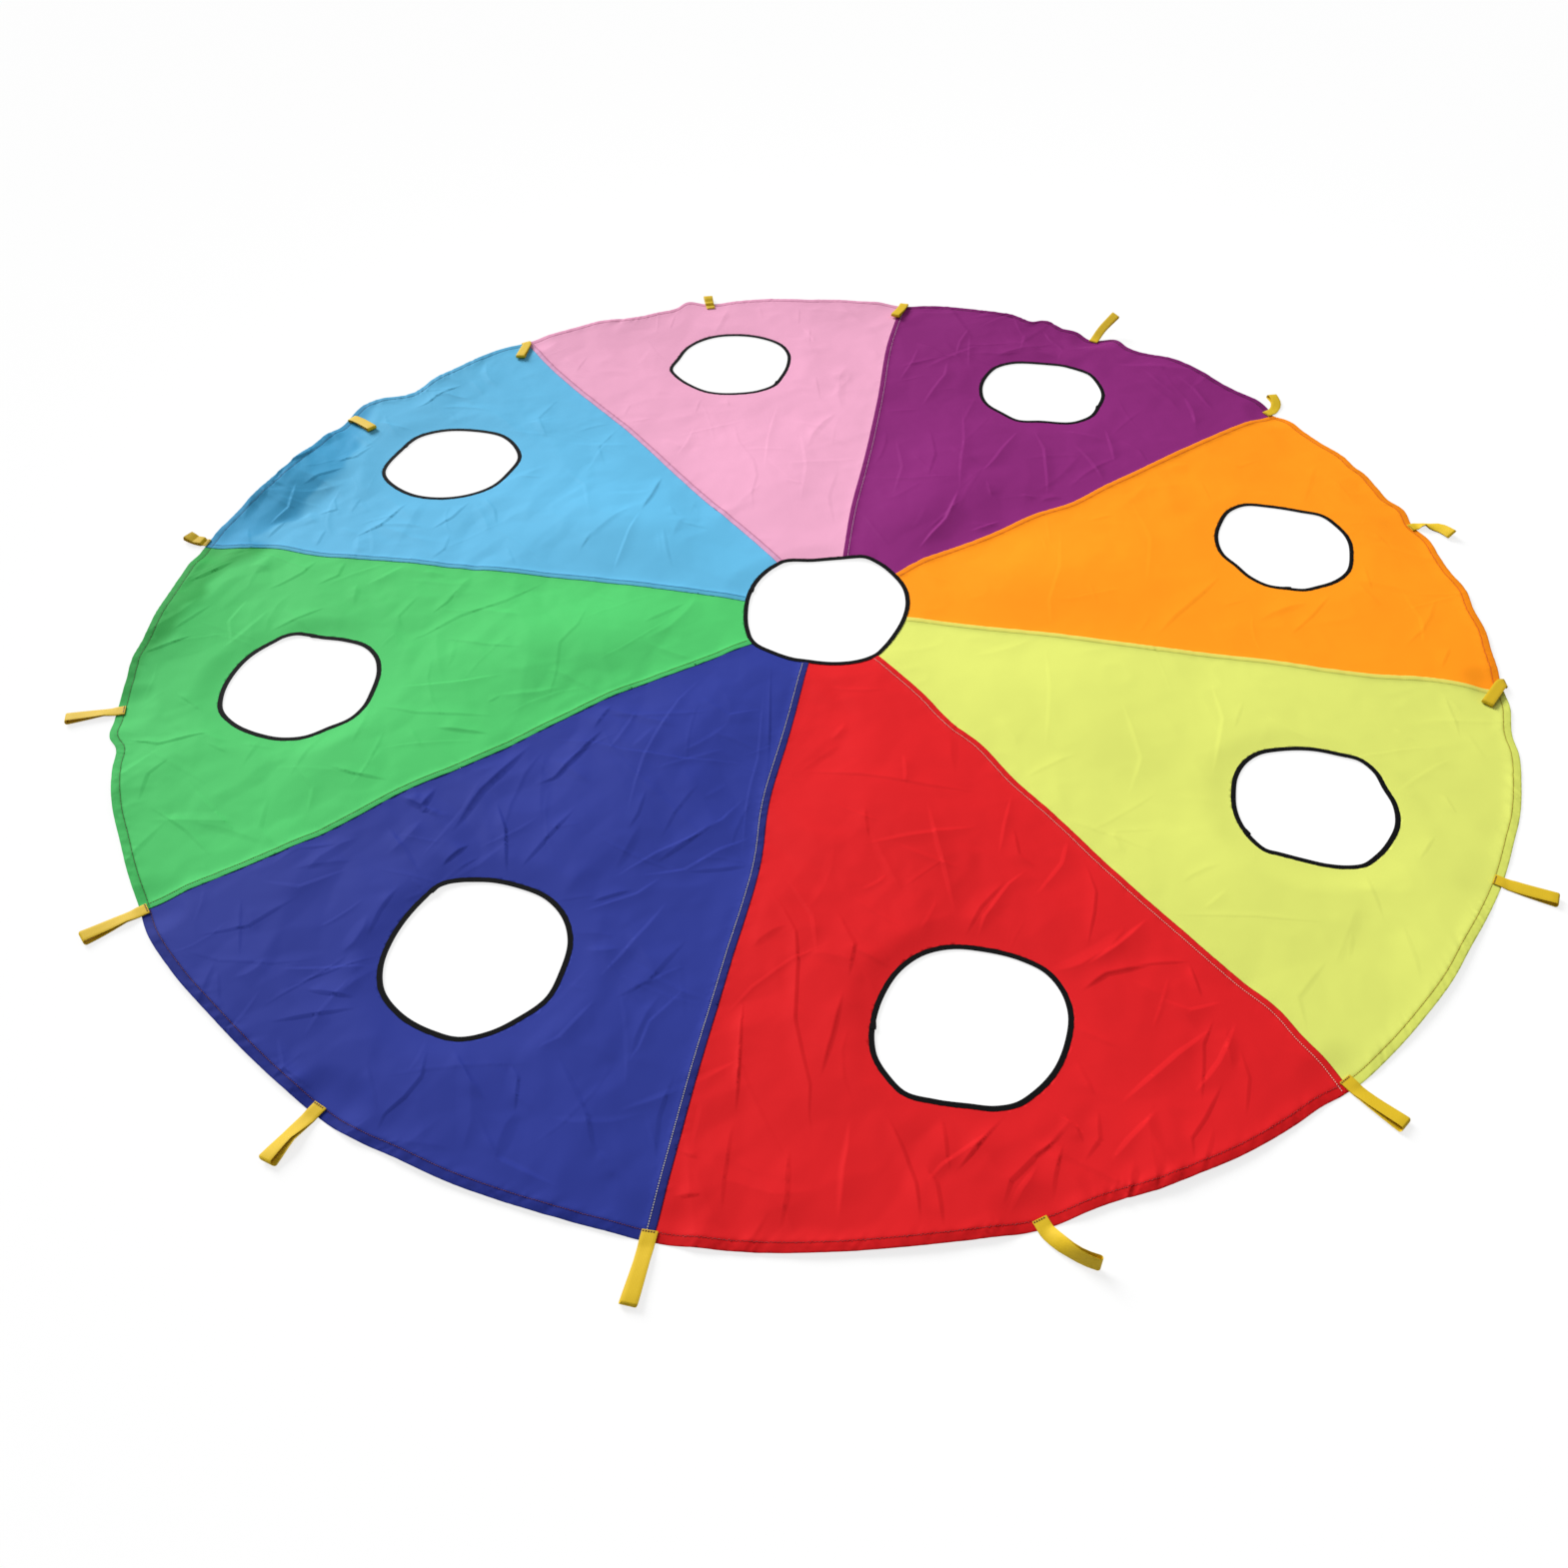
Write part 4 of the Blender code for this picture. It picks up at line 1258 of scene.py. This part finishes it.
def strap_bend(along, turn, share):
    """Where a loop's middle lies in plan, and its heading, at a distance along it."""
    bend = LOOP_REACH * share
    curve = turn / bend
    heading = curve * min(max(along, 0), bend)
    if along <= 0 or turn == 0:
        return along, 0, 0
    x = math.sin(heading) / curve
    y = (1 - math.cos(heading)) / curve
    rest = max(along - bend, 0)
    return x + rest * math.cos(heading), y + rest * math.sin(heading), heading


def tuck_under(x, z, tuck):
    """A loop's point after the loop is doubled back under itself at a distance along it."""
    tall = 10 * MM
    centre = STRAP_FLOOR + tall + TUCK_BEND
    above = min(z - STRAP_FLOOR, tall)
    raised = float(ease(x / (0.7 * tuck)))
    arc = math.pi * TUCK_BEND
    past = x - tuck
    if past <= 0:
        return x, z + (tall + 2 * TUCK_BEND) * raised
    if past < arc:
        turn, arm = past / TUCK_BEND, TUCK_BEND + above
        return tuck + arm * math.sin(turn), centre + arm * math.cos(turn)
    return tuck - (past - arc), centre - TUCK_BEND - above


def make_handle(index):
    """A strap folded double, with its ends sewn on the hem, and the thread across them."""
    name, fold, turn, share, place, slant, rolls, skew, tuck = HANDLES[index]
    line = strap_line()
    matrix = handle_matrix(index)
    folded = Matrix.Rotation(-math.radians(fold), 4, "Y")
    to_tab, from_tab = (Matrix.Translation((x, 0, 0)) for x in (TAB_LENGTH / 2, -TAB_LENGTH / 2))
    slanted = from_tab @ Matrix.Rotation(math.radians(slant), 4, "Z") @ to_tab
    slanted = Matrix.Translation((0, place * MM, 0)) @ slanted
    half = WEBBING_WIDTH / 2
    thick = WEBBING / 2 - 0.08 * MM
    across = [-half, -half + 1 * MM, -half / 2, 0, half / 2, half - 1 * MM, half]
    edge = [0.3, 1, 1, 1, 1, 1, 0.3]
    profile = [(a, thick * e) for a, e in zip(across, edge)]
    profile += [(a, -thick * e) for a, e in reversed(list(zip(across, edge)))]
    sections, weave = [], []
    along_line = 0
    for i, (x, z, lower) in enumerate(line):
        before, after = line[max(i - 1, 0)], line[min(i + 1, len(line) - 1)]
        dx, dz = after[0] - before[0], after[1] - before[1]
        length = math.hypot(dx, dz)
        nx, nz = -dz / length, dx / length
        if i:
            along_line += math.hypot(x - line[i - 1][0], z - line[i - 1][1])
        shift = lower * skew / 2 * MM * float(ease(x / LOOP_REACH))
        row = []
        for side, off in profile:
            px, pz = x + nx * off, z + nz * off
            side = side + shift
            if tuck:
                px, pz = tuck_under(px, pz, tuck * MM)
            bx, by, heading = strap_bend(px, math.radians(turn), share)
            roll = float(np.interp(px / LOOP_REACH, (0.03, 0.2, 0.55, 1), (0, *rolls)))
            roll = math.radians(roll)
            above = pz - STRAP_LOW
            aside = side * math.cos(roll) - above * math.sin(roll)
            raised = side * math.sin(roll) + above * math.cos(roll) + half * abs(math.sin(roll))
            pz = STRAP_LOW + raised
            point = Vector((bx - aside * math.sin(heading), by + aside * math.cos(heading), pz))
            point = slanted @ point
            if px > 0:
                point = folded @ point
            row.append(matrix @ point)
            weave.append((along_line, side - shift, 0))
        sections.append([tuple(p) for p in row])
    strap = sweep(f"handle_{name}", sections)
    strap.data.set_sharp_from_angle(angle=math.radians(60))
    attribute = strap.data.attributes.new("weave", "FLOAT_VECTOR", "POINT")
    attribute.data.foreach_set("vector", np.array(weave, np.float32).ravel())
    strap.data.materials.append(MATERIALS["webbing"])
    out = matrix.to_3x3() @ Vector((1, 0, 0))
    hinge = matrix @ Vector((0, 0, 0))
    if fold > 90:
        start, end = hinge - Vector((0, 0, 0.2 * MM)), hinge + Vector((0, 0, 0.2 * MM))
    else:
        start, end = hinge - out * 1 * MM, hinge + out * 2 * MM
    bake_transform(strap)
    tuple(start)
    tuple(end)
    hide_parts(f"handle_tab_{name}", f"handle_loop_{name}")
    top = TAB_FOOT - HINGE_HEIGHT + 2 * WEBBING
    for row, back in enumerate((2 * MM, 3.1 * MM)):
        ends = [Vector((back - TAB_LENGTH, side * (half - 0.8 * MM), top)) for side in (-1, 1)]
        ends = [matrix @ slanted @ end for end in ends]
        ends = np.array([tuple(end) for end in ends])
        places, faces = stitch_line(ends[:, :2], ends[:, 2])
        thread = new_mesh(f"tab_stitches_{row + 1}_{name}", places, faces)
        thread.data.materials.append(MATERIALS["tab_thread"])
        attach(thread, "root")
    return strap


def stitch_line(points, tops):
    """Places and faces of a row of stitches along points in the plane, on given tops."""
    along = along_path(points)
    starts = np.arange(0, along[-1] - STITCH, STITCH_PITCH)
    places, faces = [], []
    for start in starts:
        at = np.array([start, start + STITCH * 0.2, start + STITCH * 0.8, start + STITCH])
        x, y = np.interp(at, along, points[:, 0]), np.interp(at, along, points[:, 1])
        z = np.interp(at, along, tops)
        side = np.array([-(y[3] - y[0]), x[3] - x[0]])
        side = side / max(np.linalg.norm(side), 1e-9) * THREAD / 2
        n = len(places)
        places.append((x[0], y[0], z[0] - 0.1 * MM))
        for k in (1, 2):
            places.append((x[k] - side[0], y[k] - side[1], z[k] + 0.05 * MM))
            places.append((x[k], y[k], z[k] + 0.45 * MM))
            places.append((x[k] + side[0], y[k] + side[1], z[k] + 0.05 * MM))
            places.append((x[k], y[k], z[k] - 0.2 * MM))
        places.append((x[3], y[3], z[3] - 0.1 * MM))
        for j in range(4):
            k = (j + 1) % 4
            faces.append((n, n + 1 + k, n + 1 + j))
            faces.append((n + 1 + j, n + 1 + k, n + 5 + k, n + 5 + j))
            faces.append((n + 5 + j, n + 5 + k, n + 9))
    return places, faces


def make_stitches(gore):
    """Thread along the lapped seam and the hem of one gore."""
    name = NAMES[gore]
    first, last = 2 * BAY * gore, 2 * BAY * (gore + 1)
    made = []
    reach = np.arange(centre_reach(last) + 8 * MM, RADIUS - 1 * MM, 3 * MM)
    aside = np.full(len(reach), SEAM_LINE - LAP)
    made.append(("seam", reach, last + aside / reach, lapped_rise(reach, aside)))
    angle = np.arange(first + 2 * MM / RADIUS, last - 2 * MM / RADIUS, 3 * MM / RADIUS)
    zigzag = np.abs(2 * ((angle * RADIUS / (7 * MM)) % 1) - 1) - 0.5
    reach = RADIUS - HEM + HEM_LINE + ZIGZAG.get(name, 0) * zigzag
    made.append(("hem", reach, angle, lapped_rise(reach, (angle - last) * reach)))
    for kind, reach, angle, rise in made:
        flat = polar(reach, angle)
        top = surface(flat) + rise + CLOTH / 2
        world = place_cloth(reach, angle, top)
        places, faces = stitch_line(world[:, :2], world[:, 2])
        thread = new_mesh(f"{kind}_stitches_{name}", places, faces)
        colours = SEAM_THREADS if kind == "seam" else HEM_THREADS
        thread.data.materials.append(thread_material(f"{kind}_thread_{name}", colours[name]))
        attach(thread, "root")
        yield thread


class Paint:
    """A material, with the few kinds of nodes that this scene's materials are made of."""

    def __init__(self, name, roughness, specular=0.5):
        self.material = bpy.data.materials.new(name)
        self.material.use_nodes = True
        self.nodes, self.links = self.material.node_tree.nodes, self.material.node_tree.links
        self.shader = self.nodes["Principled BSDF"]
        self.shader.inputs["Roughness"].default_value = roughness
        self.shader.inputs["Specular IOR Level"].default_value = specular
        self.place = self.nodes.new("ShaderNodeTexCoord").outputs["Object"]

    def feed(self, socket, value):
        """Sets a socket to a value, or links it to the socket that gives one."""
        if isinstance(value, bpy.types.NodeSocket):
            self.links.new(value, socket)
        else:
            socket.default_value = value

    def node(self, kind, **values):
        made = self.nodes.new("ShaderNode" + kind)
        for name, value in values.items():
            self.feed(made.inputs[name], value)
        return made

    def read(self, name, output="Fac"):
        """What the mesh stores under a name."""
        made = self.node("Attribute")
        made.attribute_name = name
        return made.outputs[output]

    def noise(self, scale, detail=2):
        return self.node("TexNoise", Scale=scale, Detail=detail, Vector=self.place).outputs["Fac"]

    def waves(self, direction, scale, distortion=0, place=None):
        place = self.place if place is None else place
        made = self.node("TexWave", Scale=scale, Distortion=distortion, Vector=place)
        made.bands_direction = direction
        return made.outputs["Fac"]

    def mix(self, factor, low, high, way="MIX"):
        """A colour between two others, each written out or given by a socket."""
        made = self.node("Mix")
        made.data_type = "RGBA"
        made.blend_type = way
        self.links.new(factor, made.inputs["Factor"])
        for name, colour in (("A", low), ("B", high)):
            if not isinstance(colour, bpy.types.NodeSocket):
                colour = (*colour, 1)
            self.feed(made.inputs[name], colour)
        return made.outputs["Result"]

    def times(self, first, second):
        made = self.node("Math")
        made.operation = "MULTIPLY"
        self.feed(made.inputs[0], first)
        self.feed(made.inputs[1], second)
        return made.outputs["Value"]

    def bump(self, height, distance, strength=1.0, normal=None):
        made = self.node("Bump", Distance=distance, Strength=strength, Height=height)
        if normal is not None:
            self.links.new(normal, made.inputs["Normal"])
        return made.outputs["Normal"]

    def finish(self, colour, normal=None):
        self.links.new(colour, self.shader.inputs["Base Color"])
        if normal is not None:
            self.links.new(normal, self.shader.inputs["Normal"])
        return self.material


def shaded(colour, share):
    return np.minimum(share * np.array(colour), 1)


def cloth_material(gore):
    """Taffeta: a fine plain weave, darker where it is doubled and along its stitched lines, with
    painted shade of the hem's puckers and, on two gores, painted shade along the rim.
    """
    name = NAMES[gore]
    colour = np.array(CLOTH_COLOURS[name])
    under = np.array(CLOTH_COLOURS[NAMES[(gore + 1) % GORES]])
    strip_colour = colour * (0.8 + 0.2 * under) * STRIP_SHADES.get(name, 1)
    hem_colour = colour ** 1.06 * HEM_SHADES[name]
    paint = Paint(f"{name}_taffeta", roughness=0.6, specular=0.03)
    tone = paint.mix(paint.noise(5, 3), shaded(colour, 0.93), shaded(colour, 1.05))
    tone = paint.mix(paint.read("strip"), tone, strip_colour)
    # Painted shade of the hem's small puckers: noise mottles the hem darker and lighter, more
    # strongly on the more crumpled gores.
    pucker_shade_contrast = 0.25 * min(CRUMPLE_SHARES[gore], 1)
    low, high = shaded(hem_colour, 1 - pucker_shade_contrast), shaded(hem_colour, 1 + 0.9 * pucker_shade_contrast)
    gathers = paint.mix(paint.noise(75), low, high)
    tone = paint.mix(paint.read("hem"), tone, gathers)
    tone = paint.mix(paint.read("sewn"), tone, colour ** 1.2 * 0.78)
    # Painted shade: the sky and green gores are darkened along the rim, for the side of the swell
    # that faces away from the light.
    if name in RIM_SHADE_TINTS:
        tone = paint.mix(paint.read("worn"), tone, RIM_SHADE_TINTS[name], "MULTIPLY")
    crinkle = paint.node("TexNoise", Scale=22, Detail=3, Roughness=0.45, Vector=paint.place)
    crinkle.noise_type = "RIDGED_MULTIFRACTAL"
    normal = paint.bump(crinkle.outputs["Fac"], 0.35 * MM, 0.35)
    for direction in ("X", "Y"):
        normal = paint.bump(paint.waves(direction, 320, 0.4), 0.02 * MM, 0.3, normal)
    return paint.finish(tone, normal)


def thread_material(name, colour):
    paint = Paint(name, roughness=0.55)
    twist = paint.waves("DIAGONAL", 600)
    return paint.finish(paint.mix(twist, shaded(colour, 0.75), colour))


def tape_material():
    paint = Paint("binding_tape_weave", roughness=0.75, specular=0.05)
    tone = paint.mix(paint.noise(60), BLACK, shaded(BLACK, 1.3))
    return paint.finish(tone, paint.bump(paint.waves("DIAGONAL", 260), 0.1 * MM, 0.5))


def webbing_material():
    """Yellow webbing: ribs across the strap, crossed by cords along it, with painted shade in the
    grooves between them.
    """
    paint = Paint("yellow_webbing", roughness=0.6, specular=0.15)
    weave = paint.read("weave", "Vector")
    relief = paint.times(paint.waves("X", 190, 0.6, weave), paint.waves("Y", 130, 0, weave))
    # Painted shade: the yellow is darker where the weave's relief is low, in its grooves.
    tone = paint.mix(relief, shaded(YELLOW, 0.86), shaded(YELLOW, 1.06))
    return paint.finish(tone, paint.bump(relief, 0.2 * MM, 0.4))


def add_camera():
    data = bpy.data.cameras.new("camera")
    data.sensor_width = SENSOR
    data.lens = SENSOR * FOCAL_PIXELS / IMAGE
    data.shift_x = -AXIS_PIXELS / IMAGE
    camera = bpy.data.objects.new("camera", data)
    right, up, forward = camera_axes()
    columns = np.column_stack([right, up, -forward, CAMERA_PLACE])
    camera.matrix_world = Matrix([*columns.tolist(), [0, 0, 0, 1]])
    add_to_scene(camera)
    bpy.context.scene.camera = camera


def add_lamp(name, kind, energy):
    data = bpy.data.lights.new(name, kind)
    data.energy = energy
    lamp = bpy.data.objects.new(name, data)
    add_to_scene(lamp)
    return lamp


def add_sun():
    """Low sunlight, softened."""
    lamp = add_lamp("sun", "SUN", SUN_LIGHT)
    lamp.data.angle = math.radians(SUN_SPREAD)
    lamp.rotation_euler = Vector(LIGHT).to_track_quat("Z", "Y").to_euler()


def add_softbox():
    """A round lamp that faces down, so that the middle is a little brighter than the rim."""
    lamp = add_lamp("softbox", "AREA", SOFTBOX_LIGHT)
    lamp.data.shape = "DISK"
    lamp.data.size = SOFTBOX_SIZE
    lamp.location = SOFTBOX_PLACE


def add_world():
    """White all round: dim as a light, and full white where the camera sees it."""
    world = bpy.data.worlds.new("studio")
    world.use_nodes = True
    nodes, links = world.node_tree.nodes, world.node_tree.links
    nodes.clear()
    path = nodes.new("ShaderNodeLightPath")
    seen = nodes.new("ShaderNodeMath")
    seen.operation = "MAXIMUM"
    links.new(path.outputs["Is Camera Ray"], seen.inputs[0])
    links.new(path.outputs["Is Transmission Ray"], seen.inputs[1])
    mix = nodes.new("ShaderNodeMixShader")
    links.new(seen.outputs["Value"], mix.inputs["Fac"])
    for socket, strength in ((1, WORLD_LIGHT), (2, 1)):
        white = nodes.new("ShaderNodeBackground")
        white.inputs["Color"].default_value = (1, 1, 1, 1)
        white.inputs["Strength"].default_value = strength
        links.new(white.outputs["Background"], mix.inputs[socket])
    out = nodes.new("ShaderNodeOutputWorld")
    links.new(mix.outputs["Shader"], out.inputs["Surface"])
    bpy.context.scene.world = world


def add_floor():
    """A white floor, which glows a little for the camera, so that only shadows make it grey."""
    bpy.ops.mesh.primitive_circle_add(
        vertices=96, radius=FLOOR_RADIUS, fill_type="NGON", location=(0, 0, -0.1 * MM)
    )
    floor = bpy.context.object
    floor.name = "floor"
    paint = Paint("white_floor", roughness=0.9, specular=0)
    paint.shader.inputs["Base Color"].default_value = (0.96, 0.96, 0.96, 1)
    shown = paint.times(paint.node("LightPath").outputs["Is Camera Ray"], FLOOR_GLOW)
    glow = paint.node("Emission", Color=(1, 1, 1, 1)).outputs["Emission"]
    mix = paint.node("MixShader", Fac=shown)
    paint.links.new(paint.shader.outputs["BSDF"], mix.inputs[1])
    paint.links.new(glow, mix.inputs[2])
    paint.links.new(mix.outputs["Shader"], paint.nodes["Material Output"].inputs["Surface"])
    floor.data.materials.append(paint.material)


MATERIALS = {
    "tape": tape_material(),
    "webbing": webbing_material(),
    "tab_thread": thread_material("tab_thread", (0.10, 0.012, 0.006)),
}
add_camera()
add_world()
add_floor()
add_sun()
add_softbox()
bpy.context.scene.view_settings.view_transform = "Standard"

for gore in range(GORES):
    cloth = make_gore(gore)
    tape = make_binding(NAMES[gore])
    threads = list(make_stitches(gore))
make_binding("centre")
for index in range(len(HANDLES)):
    make_handle(index)
